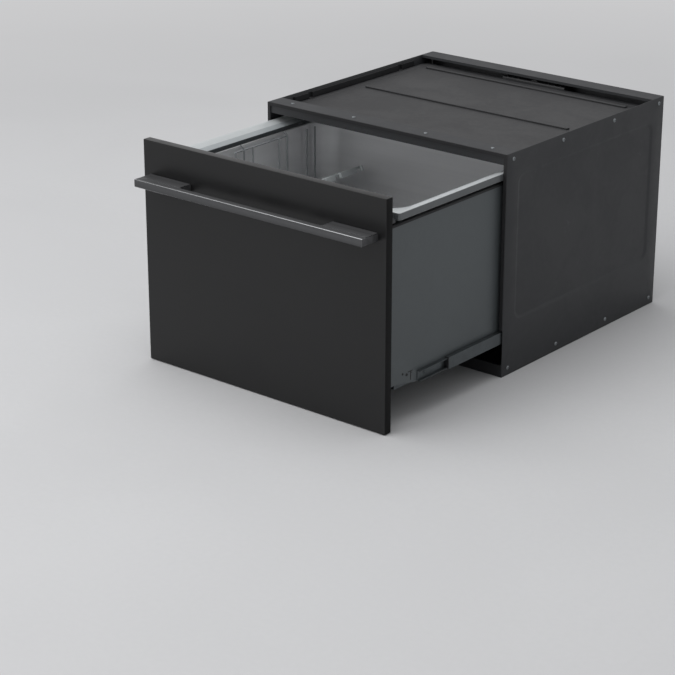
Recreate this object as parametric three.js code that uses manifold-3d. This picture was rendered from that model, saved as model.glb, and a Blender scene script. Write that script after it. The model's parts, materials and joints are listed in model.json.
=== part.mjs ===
// A dishwasher drawer: a wash tub on runners that pulls out of a fixed chassis.
//
// Millimetres. +X is to the right of someone facing the front panel, +Y goes back along the
// runners and +Z is up. The origin is the middle of the chassis's footprint, on its underside.
// The drawer stands open by drawerOpen; its pieces are drawn in the drawer's own frame, where
// Y is counted from the front face of the front panel.

import * as THREE from 'three';
import { mergeVertices } from 'three/addons/utils/BufferGeometryUtils.js';
import Module from 'manifold-3d';

const wasm = await Module();
wasm.setup();

// ------------------------------------------------------------------ clearances

const seat = 0.3; // between two pieces that rest on or are fixed to each other
const running = 0.4; // round a piece that turns, lifts or is pressed
const past = 1; // how far a cutting shape stands past the face that it cuts
const runnerPlay = 0.6; // between the sliding members of a runner
const doorGap = 3; // between the chassis and the closed front panel

// ------------------------------------------------------------------ chassis

const chassisWidth = 598;
const chassisDepth = 552;
const chassisHeight = 452;
const shellSheet = 1.2;
const traySheet = 2;
const trayLipHeight = 24;
const braceDepth = 40;
const frontBraceDrop = 22;
const braceLip = 5.7;
const sealStripWidth = 7;
const sealStripThickness = 2.4;
const toeTrimThickness = 5;
const toeTrimHeight = 22;

// ------------------------------------------------------------------ drawer travel and front

const drawerOpen = 343;
const panelReveal = 1; // the panel's sides stand this far inside the chassis's
const panelRise = 2; // the panel's top stands this far over the chassis's
const panelThickness = 18;
const panelBottom = 1;

const handleInset = 18; // from the panel's sides
const handleHeight = 15.5;
const handleReach = 46; // from the panel to the front of the handle
const handleBar = 14; // depth of the bar where it spans the finger gap
const handleBlock = 105; // length of each end block
const handleDrop = 66; // from the top of the panel to the top of the handle
const handleCorner = 5;
const handleGroove = 0.6;

const padWidth = 50;
const padSpacing = 350;
const padBottom = 120;
const padDrop = 32; // from the top of the drawer shell to the top of a pad

// ------------------------------------------------------------------ rim of the tub

const rimSideGap = 7.5; // from the chassis's sides
const rimDepthGap = 69; // the rim is this much shorter than the chassis is deep
const rimFront = 45;
const rimDrop = 39; // from the top of the panel to the top of the rim
const smallestCorner = 0.5;
const rimBand = 14;
const rimFlat = 11;
const rimBevel = 20;
const rimBevelDrop = 10.5;
const rimLip = 8.5;
const rimNeck = 12.5;
const rimCorner = 16;
const openingCorner = 50;

// ------------------------------------------------------------------ tub

const tubSheet = 0.8;
const tubInset = 0.5; // the tub's wall stands this far inside the rim's lip
const tubFlange = 18;
const gasketHeight = 1.9;
const gasketWidth = 14;
const gasketInset = 3;
const ledgeWidth = 7;
const tubFloor = 113;
const tubFloorFall = 4;
const tubFoot = 15; // how far the wall draws in from the ledge to the floor
const tubFootRise = 9;
const sumpRadius = 76;
const sumpDepth = 15;

// ------------------------------------------------------------------ drawer shell

const runnerRoom = 14; // between the outside of the chassis and the drawer shell
const wrapSheet = 0.8;
const wrapBottom = 70;
const wrapSweep = 12;
const wrapSweepStart = 17;
const wrapSweepEnd = 102;
const wrapFront = 18.5;
const wrapRearInset = 6; // from the rear of the rim
const wrapTubGap = 1.5; // between the shell's top flange and the tub's wall
const carrierFront = 22;
const carrierDepth = 21;
const carrierSheet = 1;
const carrierBottom = 84;
const panSheet = 0.8;
const panSideGap = 6; // from the outside of the drawer shell
const panFront = 50;
const panRearGap = 7; // from the rear of the drawer shell
const panBottom = 70;
const panHeight = 28;
const insulationThickness = 6;
const insulationTopGap = 6;
const insulationBottomGap = 4;

// ------------------------------------------------------------------ control strip

const fasciaSideGap = 2; // from the outside of the drawer shell
const fasciaThickness = 8;
const fasciaRib = 3.5;
const fasciaRibWidth = 2;
const fasciaRibInset = 6;
const buttonRadius = 6;
const buttonStand = 1;
const buttonTravel = 0.9;
const buttonFoot = 2.5;
const buttonCrown = 0.8;
const buttonPitch = 40;
const moduleWidth = 240;
const moduleDepth = 18;
const moduleHeight = 80;
const moduleDrop = 12.4; // from the top of the drawer shell

// ------------------------------------------------------------------ runners

const runnerDepthGap = 72; // a runner is this much shorter than the chassis is deep
const runnerHeight = 27.6;
const runnerBottom = 68.2;
const runnerSheet = 1.2;
const runnerFlange = 9.5;
const runnerSetback = 4; // from the chassis's front edge
const innerRunnerFront = 111; // the drawer's member starts behind the sweep of the side wrap

// ------------------------------------------------------------------ lid

const lidSideGap = 11; // from the outside of the chassis
const lidTravel = 10;
const lidThickness = 6;
const lidLap = 4; // how far the lid laps past the rim, front and back
const lidCorner = 18;
const lidRibs = 3;
const lidRibWidth = 10;
const lidRibHeight = 3;
const lidRibInset = 30; // from the lid's ends
const lidSealWidth = 6;
const lidSealHeight = 4.3;
const lidLug = 12;
const lidLugReach = 8;
const guideInset = 45.5; // from the lid's ends
const guideEnd = 50; // from a guide's end to the middle of its slot
const guideFoot = 1; // below the lowered lid
const actuatorWidth = 160;
const actuatorHeight = 24;
const actuatorStep = 4; // its housing is this much lower than its motor, top and bottom

// ------------------------------------------------------------------ wash system

const motorRadius = 60;
const motorStep = 6;
const pumpX = 120;
const pumpRearGap = 33; // from the rear of the pan
const pumpRadius = 26;
const pumpHeight = 22;
const pumpShoulder = 6.6; // height and width of the slope round the pump's top
const pumpPipe = 8;
const pumpOutlet = 9;
const pumpOutletReach = 1.7; // below the pan
const plateThickness = 2;
const skirtThickness = 2;
const hubRadius = 12;
const hubHeight = 18.6; // above the filter plate
const hubFlare = 8;
const hubFlareHeight = 6;
const hubPin = 5;
const hubPinHeight = 8;
const filterX = 42;
const filterRadius = 21;
const filterEdge = 2;
const filterFlange = 22;
const filterFlangeThickness = 2.5;
const filterDepth = 10;
const filterGripHeight = 7;
const filterGripWidth = 5;
const filterGripLength = 29;
const armRadius = 186;
const armTipWidth = 24;
const armBulge = [[27, 19], [12.5, 24]]; // corners of the widening round the hub
const armThickness = 13;
const armRoom = 5; // from the top of the arm to the level of the tub's ledge

// ------------------------------------------------------------------ detergent dispenser

const dispenserGap = 5; // from the tub's corner
const dispenserWidth = 160;
const dispenserDepth = 21;
const dispenserDrop = 65; // from the top of the rim to the top of the dispenser
const dispenserRise = 12.7; // from the top of the rack's wall to its underside
const cupWidth = 75;
const cupMargin = 21; // above and below the cup
const cupDepth = 14;
const cupInset = 15;
const doorLap = 3;
const doorThickness = 3;
const capRadius = 16;
const capThickness = 3;
const capPlug = 11;
const capPlugDepth = 8;
const capGrip = 6;
const capGripWidth = 4;
const capGripLength = 25.6;
const capX = 125; // from the dispenser's left edge

// ------------------------------------------------------------------ racks

const rackClear = 3; // between a rack and the wall of the tub
const rackSplit = 4; // between the two racks
const rackWire = 2; // radius of a rack's frame wire
const rackRod = 1.75; // radius of its cross wires
const rackWeld = 0.7; // how deep crossing wires are welded into each other
const rackWall = 67; // height of a rack's low wall above its frame wire
const rackCorner = 44;
const rackInnerCorner = 10;
const crossWires = 10;
const lengthWires = 5;
const lengthWireInset = 8; // from the end of a rack's corners
const guardDrop = 16; // from the underside of the rim
const guardHook = 8;
const guardLap = 12; // the guard's top wire laps past its outer wires
const guardWires = [2, 3, 4, 6, 7, 9];
const hookWires = [3, 7];
const tineHeight = 58;
const tineRadius = 1.75;
const tineRod = 2;
const tineEndGap = 43; // from the rack's end wires to the first and last tine
const tineCount = 10;
const tineRowPlaces = [-22, 52, 125, 216];

const cupRackLength = 121;
const cupRackThickness = 5;
const cupRackRod = 2.5;
const cupRackRise = 121.7; // from the rack's frame wire to the hinge rods
const cupRackTilt = 25;
const cupRackBar = 9;
const cupRackRibs = 4;
const cupRackNotches = 3;
const cupRackNotch = 12;
const cupRackNotchDepth = 6;
const cupRackGap = 7; // between the two cup racks
const cupRackRearGap = 25.5; // from the rear wall of the tub
const cupRackFrontGap = 3; // from the cutlery basket

const basketSideGap = 10; // from the middle of the rack's outer frame wire
const basketFrontGap = 31.5; // from the front wall of the tub
const basketWidth = 150;
const basketLength = 117;
const basketHeight = 112;
const basketWall = 2;
const basketCells = 3;
const basketHandle = 24;
const basketHandleWidth = 5;

// ------------------------------------------------------------------ services

const valveInset = 89; // from the outside of the chassis
const valveWidth = 50;
const valveDepth = 48;
const valveHeight = 44;
const valveSpigot = 13;
const valveCoilReach = 14;
const drainX = -120;
const drainWidth = 28;
const drainDepth = 28;
const drainSpigot = 10;
const drainNozzle = 9;
const drainNozzleLength = 24;
const serviceHeight = 32; // of the spigots' axes above the chassis's underside
const spigotReach = 16; // past the rear panel
const powerInset = 139; // from the outside of the chassis
const powerWidth = 140;
const powerDepth = 84;
const powerHeight = 44;
const powerChamfer = 10;
const mainsGland = 8;
const cableGland = 7;
const cableGlandHeight = 3;
const cableX = 152;
const linkHoseRadius = 11;
const linkCableRadius = 4;

// ------------------------------------------------------------------ worked out from the sizes

const chassisFront = -chassisDepth / 2;
const chassisRear = chassisDepth / 2;
const sideInner = chassisWidth / 2 - shellSheet;
const shellBottom = traySheet + seat;
const drawerY = chassisFront - doorGap - panelThickness - drawerOpen;

const panelWidth = chassisWidth - 2 * panelReveal;
const panelTop = chassisHeight + panelRise;
const handleWidth = panelWidth - 2 * handleInset;
const handleGapWidth = handleWidth - 2 * handleBlock;

const rimWidth = chassisWidth - 2 * rimSideGap;
const rimLength = chassisDepth - rimDepthGap;
const rimTop = panelTop - rimDrop;
const rimBottom = rimTop - rimBevelDrop - rimLip;
const rimHalf = rimWidth / 2;
const rimHalfLength = rimLength / 2;
const tubY = rimFront + rimHalfLength;
const rimSlope = rimFlat + rimBevel;
const tubHalf = rimHalf - rimSlope - tubInset;
const tubHalfLength = rimHalfLength - rimSlope - tubInset;
const flangeTop = rimBottom - seat;
const gasketTop = flangeTop - tubSheet - seat;
const wrapTop = gasketTop - gasketHeight - seat;
const plateTop = tubFloor - tubFloorFall;
const sumpFloor = plateTop - sumpDepth;
const hubTop = plateTop + hubHeight;
const ledgeHeight = hubTop + running + armThickness + armRoom;

const wrapHalf = chassisWidth / 2 - runnerRoom;
const wrapInner = wrapHalf - wrapSheet;
const wrapRear = rimFront + rimLength - wrapRearInset;
const shellInner = tubHalf + tubSheet + wrapTubGap;
const panHalf = wrapHalf - panSideGap;
const panRear = wrapRear - panRearGap;
const pumpY = panRear - pumpRearGap;
const runnerLength = chassisDepth - runnerDepthGap;

const frameWireZ = ledgeHeight + seat + rackWire;
const crossWireZ = frameWireZ + rackWire + rackRod - rackWeld;
const wiresTop = crossWireZ + rackRod;
const rackOuter = tubHalf - rackClear - rackWire;
const rackInner = rackSplit / 2 + rackWire;
const rackHalfLength = tubHalfLength - rackClear - rackWire;
const guardX = rackOuter - rackWire - rackRod + rackWeld;
const guardZ = rimBottom - guardDrop;
const wallZ = frameWireZ + rackWall;
const tineRodZ = wiresTop + seat + tineRod;
const crossPitch = 2 * (rackHalfLength - rackCorner) / (crossWires - 1);
const crossPlaces = Array.from(
  { length: crossWires },
  (_, i) => tubY - rackHalfLength + rackCorner + i * crossPitch,
);
const lengthStart = rackInner + rackInnerCorner + lengthWireInset;
const lengthPitch = (rackOuter - rackCorner - lengthStart) / (lengthWires - 1);
const lengthPlaces = Array.from({ length: lengthWires }, (_, i) => lengthStart + i * lengthPitch);
const tinePitch = 2 * (rackHalfLength - tineEndGap) / (tineCount - 1);
const basketX = -rackOuter + basketSideGap;
const basketY = tubY - tubHalfLength + basketFrontGap;
const cupRackHeight = frameWireZ + cupRackRise;
const cupRackFront = basketY + basketLength + cupRackFrontGap;
const cupRackRear = tubY + tubHalfLength - cupRackRearGap;
const cupRackWidth = (cupRackRear - cupRackFront - cupRackGap) / 2;
const valveX = -chassisWidth / 2 + valveInset;
const powerX = chassisWidth / 2 - powerInset;
const dispenserX = tubHalf - openingCorner - dispenserGap - dispenserWidth;

const lidWidth = chassisWidth - 2 * lidSideGap;
const lidBottom = rimTop + running + lidTravel + lidSealHeight + seat;
const lidLength = rimLength + 2 * lidLap;
const lidY = drawerY + drawerOpen + tubY;

// ------------------------------------------------------------------ finishes

const lacquer = { color: 0x363636, roughness: 0.55, metalness: 0 };
const handleMetal = { color: 0x4a4b4c, roughness: 0.35, metalness: 0.85 };
const wrapPaint = { color: 0x7c8183, roughness: 0.45, metalness: 0.25 };
const rimPlastic = { color: 0xb9bec0, roughness: 0.4, metalness: 0 };
const stainless = { color: 0xb4b6b8, roughness: 0.28, metalness: 1 };
const zinc = { color: 0x9a9ea1, roughness: 0.45, metalness: 0.8 };
const shellPaint = { color: 0x2b2d2f, roughness: 0.6, metalness: 0.3 };
const blackPlastic = { color: 0x1c1d1e, roughness: 0.55, metalness: 0 };
const greyPlastic = { color: 0xa3a7a9, roughness: 0.5, metalness: 0 };
const darkGreyPlastic = { color: 0x4d5052, roughness: 0.5, metalness: 0 };
const coatedWire = { color: 0xa9adaf, roughness: 0.45, metalness: 0.1 };
const blackRubber = { color: 0x202123, roughness: 0.8, metalness: 0 };
const greyRubber = { color: 0x6c7072, roughness: 0.8, metalness: 0 };
const felt = { color: 0x8b8477, roughness: 1, metalness: 0 };
const whitePlastic = { color: 0xe4e6e7, roughness: 0.45, metalness: 0 };

// ------------------------------------------------------------------ shape helpers

// Twice the signed volume of a triangle with the origin, times three.
function signedVolume(position, index) {
  const a = new THREE.Vector3();
  const b = new THREE.Vector3();
  const c = new THREE.Vector3();
  let sum = 0;
  for (let i = 0; i < index.length; i += 3) {
    a.fromBufferAttribute(position, index[i]);
    b.fromBufferAttribute(position, index[i + 1]);
    c.fromBufferAttribute(position, index[i + 2]);
    sum += a.dot(b.cross(c));
  }
  return sum;
}

// A closed geometry as a solid that can be joined and cut, with its faces pointing out.
function solid(geometry) {
  const bare = geometry.index ? geometry.toNonIndexed() : geometry.clone();
  bare.deleteAttribute('normal');
  bare.deleteAttribute('uv');
  const merged = mergeVertices(bare, 1e-4);
  const position = merged.attributes.position;
  const inward = signedVolume(position, merged.index.array) < 0;
  const triangles = [];
  for (let i = 0; i < merged.index.count; i += 3) {
    const [a, b, c] = merged.index.array.slice(i, i + 3);
    if (a !== b && b !== c && c !== a) {
      triangles.push(a, inward ? c : b, inward ? b : c);
    }
  }
  const vertProperties = new Float32Array(position.array);
  const triVerts = new Uint32Array(triangles);
  return new wasm.Manifold(new wasm.Mesh({ numProp: 3, vertProperties, triVerts }));
}

function geometryOf(shape) {
  const mesh = shape.getMesh();
  const geometry = new THREE.BufferGeometry();
  geometry.setAttribute('position', new THREE.BufferAttribute(mesh.vertProperties, 3));
  geometry.setIndex(new THREE.BufferAttribute(mesh.triVerts, 1));
  geometry.computeVertexNormals();
  return geometry;
}

function join(shapes) {
  return shapes.reduce((whole, shape) => whole.add(shape));
}

function box([x0, x1], [y0, y1], [z0, z1]) {
  const geometry = new THREE.BoxGeometry(x1 - x0, y1 - y0, z1 - z0);
  geometry.translate((x0 + x1) / 2, (y0 + y1) / 2, (z0 + z1) / 2);
  return solid(geometry);
}

// A round bar between two points.
function rod(from, to, radius, sides = 16) {
  const start = new THREE.Vector3(...from);
  const along = new THREE.Vector3(...to).sub(start);
  const geometry = new THREE.CylinderGeometry(radius, radius, along.length(), sides);
  geometry.translate(0, along.length() / 2, 0);
  const up = new THREE.Vector3(0, 1, 0);
  geometry.applyQuaternion(new THREE.Quaternion().setFromUnitVectors(up, along.normalize()));
  geometry.translate(start.x, start.y, start.z);
  return solid(geometry);
}

// An outline of [u, v] points drawn out along an axis. Along z the outline is [x, y], along y
// it is [x, z] and along x it is [y, z].
function drawn(outline, axis, from, to) {
  const shape = new THREE.Shape(outline.map(([u, v]) => new THREE.Vector2(u, v)));
  const geometry = new THREE.ExtrudeGeometry(shape, { depth: to - from, bevelEnabled: false });
  if (axis === 'z') {
    geometry.translate(0, 0, from);
  } else if (axis === 'y') {
    geometry.rotateX(Math.PI / 2);
    geometry.translate(0, to, 0);
  } else {
    geometry.applyMatrix4(new THREE.Matrix4().makeBasis(
      new THREE.Vector3(0, 1, 0), new THREE.Vector3(0, 0, 1), new THREE.Vector3(1, 0, 0),
    ));
    geometry.translate(from, 0, 0);
  }
  return solid(geometry);
}

// A profile of [radius, z] points turned round the upright axis at [x, y].
function turned(profile, [x, y], sides = 32) {
  const points = profile.map(([radius, z]) => new THREE.Vector2(radius, z));
  const geometry = new THREE.LatheGeometry(points, sides);
  geometry.rotateX(Math.PI / 2);
  geometry.translate(x, y, 0);
  return solid(geometry);
}

// A level rectangle with round corners, counterclockwise, as points at height z.
// corners holds the radii at +x+y, -x+y, -x-y and +x-y.
function roundLoop({ x = 0, y = 0, half, halfLength, corners, z, steps = 6 }) {
  const signs = [[1, 1], [-1, 1], [-1, -1], [1, -1]];
  return signs.flatMap(([sx, sy], corner) => {
    const radius = Math.max(corners[corner], smallestCorner);
    const turns = Array.from({ length: steps + 1 }, (_, i) => (corner + i / steps) * Math.PI / 2);
    return turns.map((turn) => [
      x + sx * (half - radius) + radius * Math.cos(turn),
      y + sy * (halfLength - radius) + radius * Math.sin(turn),
      z,
    ]);
  });
}

// A skin over loops of points: capped at both ends, or closed on itself as a ring.
function skin(loops, ring = false) {
  const count = loops[0].length;
  const positions = loops.flat(2);
  const index = [];
  const bands = ring ? loops.length : loops.length - 1;
  for (let band = 0; band < bands; band += 1) {
    const low = band * count;
    const high = ((band + 1) % loops.length) * count;
    for (let i = 0; i < count; i += 1) {
      const next = (i + 1) % count;
      index.push(low + i, low + next, high + next, low + i, high + next, high + i);
    }
  }
  if (!ring) {
    const last = (loops.length - 1) * count;
    for (let i = 1; i < count - 1; i += 1) {
      index.push(0, i + 1, i, last, last + i, last + i + 1);
    }
  }
  const geometry = new THREE.BufferGeometry();
  geometry.setAttribute('position', new THREE.Float32BufferAttribute(positions, 3));
  geometry.setIndex(index);
  return solid(geometry);
}

// A ring that follows a rounded rectangle. Its section is a list of [inward, z] points, going
// up its outer side and down its inner side.
function frameRing(section, { x = 0, y, half, halfLength, corners, steps = 6 }) {
  const loops = section.map(([inward, z]) => roundLoop({
    x,
    y,
    half: half - inward,
    halfLength: halfLength - inward,
    corners: corners(inward),
    z,
    steps,
  }));
  return skin(loops, true);
}

function evenCorners(radius) {
  return [radius, radius, radius, radius];
}

// A wire of round section along a line of points, mitred where it bends.
function wire(points, radius, sides = 6) {
  const path = points.map((point) => new THREE.Vector3(...point));
  const first = path[1].clone().sub(path[0]).normalize();
  const side = Math.abs(first.z) > 0.9 ? new THREE.Vector3(1, 0, 0) : new THREE.Vector3(0, 0, 1);
  const across = new THREE.Vector3().crossVectors(first, side).normalize();
  const up = new THREE.Vector3().crossVectors(first, across).normalize();
  let ring = Array.from({ length: sides }, (_, i) => {
    const turn = (i + 0.5) * 2 * Math.PI / sides;
    const out = across.clone().multiplyScalar(Math.cos(turn) * radius);
    return path[0].clone().add(out).addScaledVector(up, Math.sin(turn) * radius);
  });
  const loops = [ring];
  for (let i = 1; i < path.length; i += 1) {
    const arriving = path[i].clone().sub(path[i - 1]).normalize();
    const leaving = i + 1 < path.length ? path[i + 1].clone().sub(path[i]).normalize() : arriving;
    const mitre = arriving.clone().add(leaving).normalize();
    ring = ring.map((point) => {
      const gap = path[i].clone().sub(point).dot(mitre) / arriving.dot(mitre);
      return point.clone().addScaledVector(arriving, gap);
    });
    loops.push(ring);
  }
  return skin(loops.map((loop) => loop.map((point) => point.toArray())));
}

// A hose or cable along a smooth curve through the points.
function hose(points, radius, steps, sides = 10) {
  const path = new THREE.CatmullRomCurve3(points.map((point) => new THREE.Vector3(...point)));
  const section = new THREE.Shape();
  for (let i = 0; i < sides; i += 1) {
    const turn = i * 2 * Math.PI / sides;
    const method = i === 0 ? 'moveTo' : 'lineTo';
    section[method](radius * Math.cos(turn), radius * Math.sin(turn));
  }
  return solid(new THREE.ExtrudeGeometry(section, { steps, extrudePath: path }));
}

function mirrored(shape, side) {
  if (side > 0) {
    return shape;
  }
  const geometry = geometryOf(shape);
  geometry.scale(-1, 1, 1);
  return solid(geometry);
}

function addPart(group, name, shape, finish) {
  const mesh = new THREE.Mesh(geometryOf(shape), new THREE.MeshStandardMaterial(finish));
  mesh.name = name;
  group.add(mesh);
  return mesh;
}

// ------------------------------------------------------------------ chassis pieces

function baseTray() {
  const half = sideInner - seat;
  const lipTop = traySheet + trayLipHeight;
  const rear = chassisRear - shellSheet - seat;
  return join([
    box([-chassisWidth / 2, chassisWidth / 2], [chassisFront, chassisRear], [0, traySheet]),
    box([-half, -half + traySheet], [chassisFront, rear], [0, lipTop]),
    box([half - traySheet, half], [chassisFront, rear], [0, lipTop]),
  ]);
}

function sideSheet(side) {
  const sheet = box(
    [sideInner, chassisWidth / 2],
    [chassisFront, chassisRear],
    [shellBottom, chassisHeight],
  );
  return mirrored(sheet, side);
}

function rearPanel() {
  const panel = box(
    [-sideInner + seat, sideInner - seat],
    [chassisRear - shellSheet, chassisRear],
    [shellBottom, chassisHeight],
  );
  const hole = (x, radius) => rod(
    [x, chassisRear - 2 * shellSheet, serviceHeight],
    [x, chassisRear + shellSheet, serviceHeight],
    radius + running,
    24,
  );
  return panel
    .subtract(hole(valveX, valveSpigot))
    .subtract(hole(drainX, drainSpigot))
    .subtract(hole(powerX, mainsGland));
}

function topBrace(front) {
  const half = sideInner - seat;
  const near = front ? chassisFront : chassisRear - shellSheet - seat - braceDepth;
  const top = chassisHeight - shellSheet;
  const far = near + braceDepth;
  const drop = front ? frontBraceDrop : braceLip;
  return join([
    box([-half, half], [near, far], [top, chassisHeight]),
    box([-half, half], [near, near + shellSheet], [chassisHeight - drop, chassisHeight]),
    box([-half, half], [far - shellSheet, far], [chassisHeight - braceLip, chassisHeight]),
  ]);
}

// A seal goes down both sides of the opening and across its top.
function frontSeal() {
  const outer = chassisWidth / 2;
  const inner = outer - sealStripWidth;
  const y = [chassisFront - seat - sealStripThickness, chassisFront - seat];
  const z = [runnerBottom + runnerHeight + 4 * runnerPlay, chassisHeight];
  return join([
    box([-outer, -inner], y, z),
    box([inner, outer], y, z),
    box([-outer, outer], y, [chassisHeight - sealStripWidth, chassisHeight]),
  ]);
}

function toeTrim() {
  const half = sideInner - seat - traySheet - seat;
  const bottom = traySheet + seat;
  const x = [-half, half];
  return join([
    box(x, [chassisFront, chassisFront + toeTrimThickness], [bottom, bottom + toeTrimHeight]),
    box(x, [chassisFront, chassisFront + 3 * toeTrimThickness], [bottom, bottom + traySheet]),
  ]);
}

// A C-shaped runner member, open towards the middle of the chassis.
function runnerChannel(outer, flange, bottom, top) {
  return [
    [outer, bottom],
    [outer, top],
    [outer - flange, top],
    [outer - flange, top - runnerSheet],
    [outer - runnerSheet, top - runnerSheet],
    [outer - runnerSheet, bottom + runnerSheet],
    [outer - flange, bottom + runnerSheet],
    [outer - flange, bottom],
  ];
}

const outerRunnerX = sideInner - seat;
const midRunnerX = outerRunnerX - runnerSheet - runnerPlay;
const midFlange = midRunnerX - wrapHalf - seat - runnerSheet - runnerPlay;
const midRunnerBottom = runnerBottom + runnerSheet + runnerPlay;
const midRunnerTop = runnerBottom + runnerHeight - runnerSheet - runnerPlay;
const runnerFront = chassisFront + runnerSetback;

function runnerOuter(side) {
  const outline = runnerChannel(
    outerRunnerX,
    runnerFlange,
    runnerBottom,
    runnerBottom + runnerHeight,
  );
  return mirrored(drawn(outline, 'y', runnerFront, runnerFront + runnerLength), side);
}

// The middle member goes half as far as the drawer.
function runnerMid(side) {
  const outline = runnerChannel(midRunnerX, midFlange, midRunnerBottom, midRunnerTop);
  const front = runnerFront - drawerOpen / 2;
  return mirrored(drawn(outline, 'y', front, front + runnerLength), side);
}

// The drawer's member opens outwards, and is screwed to the side wrap.
function runnerInner(side) {
  const inner = wrapHalf + seat;
  const web = inner + runnerSheet;
  const tip = midRunnerX - runnerSheet - runnerPlay;
  const low = midRunnerBottom + runnerSheet + runnerPlay;
  const high = midRunnerTop - runnerSheet - runnerPlay;
  const outline = [
    [inner, low],
    [tip, low],
    [tip, low + runnerSheet],
    [web, low + runnerSheet],
    [web, high - runnerSheet],
    [tip, high - runnerSheet],
    [tip, high],
    [inner, high],
  ];
  const rear = runnerFront + runnerLength - drawerOpen - drawerY;
  return mirrored(drawn(outline, 'y', innerRunnerFront, rear), side);
}

// ------------------------------------------------------------------ lid

const guideLength = lidLength - 2 * guideInset;
const lugSpacing = guideLength - 2 * guideEnd;

// A flat plate with low ribs across it, and two lugs on each side.
function lid() {
  const plate = skin([lidBottom, lidBottom + lidThickness].map((z) => roundLoop({
    y: lidY,
    half: lidWidth / 2,
    halfLength: lidLength / 2,
    corners: evenCorners(lidCorner),
    z,
  })));
  const ribPitch = (lidLength - 2 * lidRibInset - lidRibWidth) / (lidRibs - 1);
  const ribs = Array.from({ length: lidRibs }, (_, i) => {
    const y = lidY - lidLength / 2 + lidRibInset + i * ribPitch;
    const half = lidWidth / 2 - lidRibInset;
    const z = [lidBottom, lidBottom + lidThickness + lidRibHeight];
    return box([-half, half], [y, y + lidRibWidth], z);
  });
  const lugs = [-1, 1].flatMap((side) => [-1, 1].map((end) => {
    const y = end * lugSpacing / 2;
    const x = [lidWidth / 2 - lidCorner, lidWidth / 2 + lidLugReach];
    const lug = box(x, [y - lidLug / 2, y + lidLug / 2], [lidBottom, lidBottom + lidThickness]);
    return mirrored(lug, side);
  }));
  return join([plate, ...ribs, ...lugs]);
}

function lidSeal() {
  const top = lidBottom - seat;
  const half = rimHalf - rimFlat / 2 + lidSealWidth / 2;
  const halfLength = rimHalfLength - rimFlat / 2 + lidSealWidth / 2;
  const low = top - lidSealHeight;
  return frameRing(
    [[lidSealWidth / 4, low], [0, top], [lidSealWidth, top], [lidSealWidth * 3 / 4, low]],
    { y: lidY, half, halfLength, corners: (inward) => evenCorners(rimCorner - inward) },
  );
}

// A guide has two upright slots that the lid's lugs rise and fall in.
function lidGuide(side) {
  const inner = lidWidth / 2 + lidLugReach / 2 + running;
  const bottom = lidBottom - lidTravel - guideFoot;
  const top = chassisHeight - braceLip - seat;
  const bar = box([inner, sideInner - seat], [-guideLength / 2, guideLength / 2], [bottom, top]);
  const slots = [-1, 1].map((end) => {
    const y = end * lugSpacing / 2;
    const half = lidLug / 2 + running;
    return box(
      [inner - past, lidWidth / 2 + lidLugReach + running],
      [y - half, y + half],
      [bottom - past, top + past],
    );
  });
  return mirrored(slots.reduce((rest, slot) => rest.subtract(slot), bar), side);
}

function lidActuator() {
  const rear = chassisRear - shellSheet - seat;
  const front = lidY + lidLength / 2 + running;
  const bottom = lidBottom - lidTravel;
  const middle = bottom + actuatorHeight / 2;
  const motor = rod([0, front + actuatorStep, middle], [0, rear, middle], actuatorHeight / 2);
  const housing = box(
    [-actuatorWidth / 2, actuatorWidth / 2],
    [front, rear],
    [bottom + actuatorStep, bottom + actuatorHeight - actuatorStep],
  );
  return join([housing, motor]);
}

// ------------------------------------------------------------------ services in the chassis

function serviceBlock(x, width, depth, height, spigot) {
  const rear = chassisRear - shellSheet - seat;
  const low = serviceHeight - height / 2;
  return join([
    box([x - width / 2, x + width / 2], [rear - depth, rear], [low, low + height]),
    rod([x, rear - depth / 2, serviceHeight], [x, chassisRear + spigotReach, serviceHeight], spigot),
  ]);
}

function inletValve() {
  const front = chassisRear - shellSheet - seat - valveDepth;
  const coil = rod(
    [valveX, front - valveCoilReach, serviceHeight],
    [valveX, front + valveDepth / 4, serviceHeight],
    valveHeight / 3,
  );
  return serviceBlock(valveX, valveWidth, valveDepth, valveHeight, valveSpigot).add(coil);
}

const drainNozzleEnd = chassisRear - shellSheet - seat - drainDepth - drainNozzleLength;

function drainSpigotBlock() {
  const nozzle = rod(
    [drainX, drainNozzleEnd, serviceHeight],
    [drainX, drainNozzleEnd + drainNozzleLength + drainDepth / 2, serviceHeight],
    drainNozzle,
  );
  return serviceBlock(drainX, drainWidth, drainDepth, drainWidth, drainSpigot).add(nozzle);
}

function powerBox() {
  const rear = chassisRear - shellSheet - seat;
  const bottom = traySheet + seat;
  const x = [powerX - powerWidth / 2, powerX + powerWidth / 2];
  const outline = [
    [rear - powerDepth, bottom],
    [rear, bottom],
    [rear, bottom + powerHeight],
    [rear - powerDepth + powerChamfer, bottom + powerHeight],
    [rear - powerDepth, bottom + powerHeight - powerChamfer],
  ];
  const gland = rod(
    [powerX, rear - mainsGland, serviceHeight],
    [powerX, chassisRear + spigotReach / 2, serviceHeight],
    mainsGland,
  );
  return drawn(outline, 'x', ...x).add(gland);
}

const panHoleY = drawerY + pumpY;

function linkHose() {
  const end = drainNozzleEnd - seat;
  return hose([
    [pumpX, panHoleY, panBottom - 2],
    [pumpX, panHoleY, panBottom - 12],
    [110, -155, 34],
    [84, -146, 21],
    [30, -120, 16],
    [-40, -60, 15],
    [-95, 20, 15],
    [-118, 100, 18],
    [drainX, 160, 28],
    [drainX, end - 20, serviceHeight],
    [drainX, end, serviceHeight],
  ], linkHoseRadius, 36);
}

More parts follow.
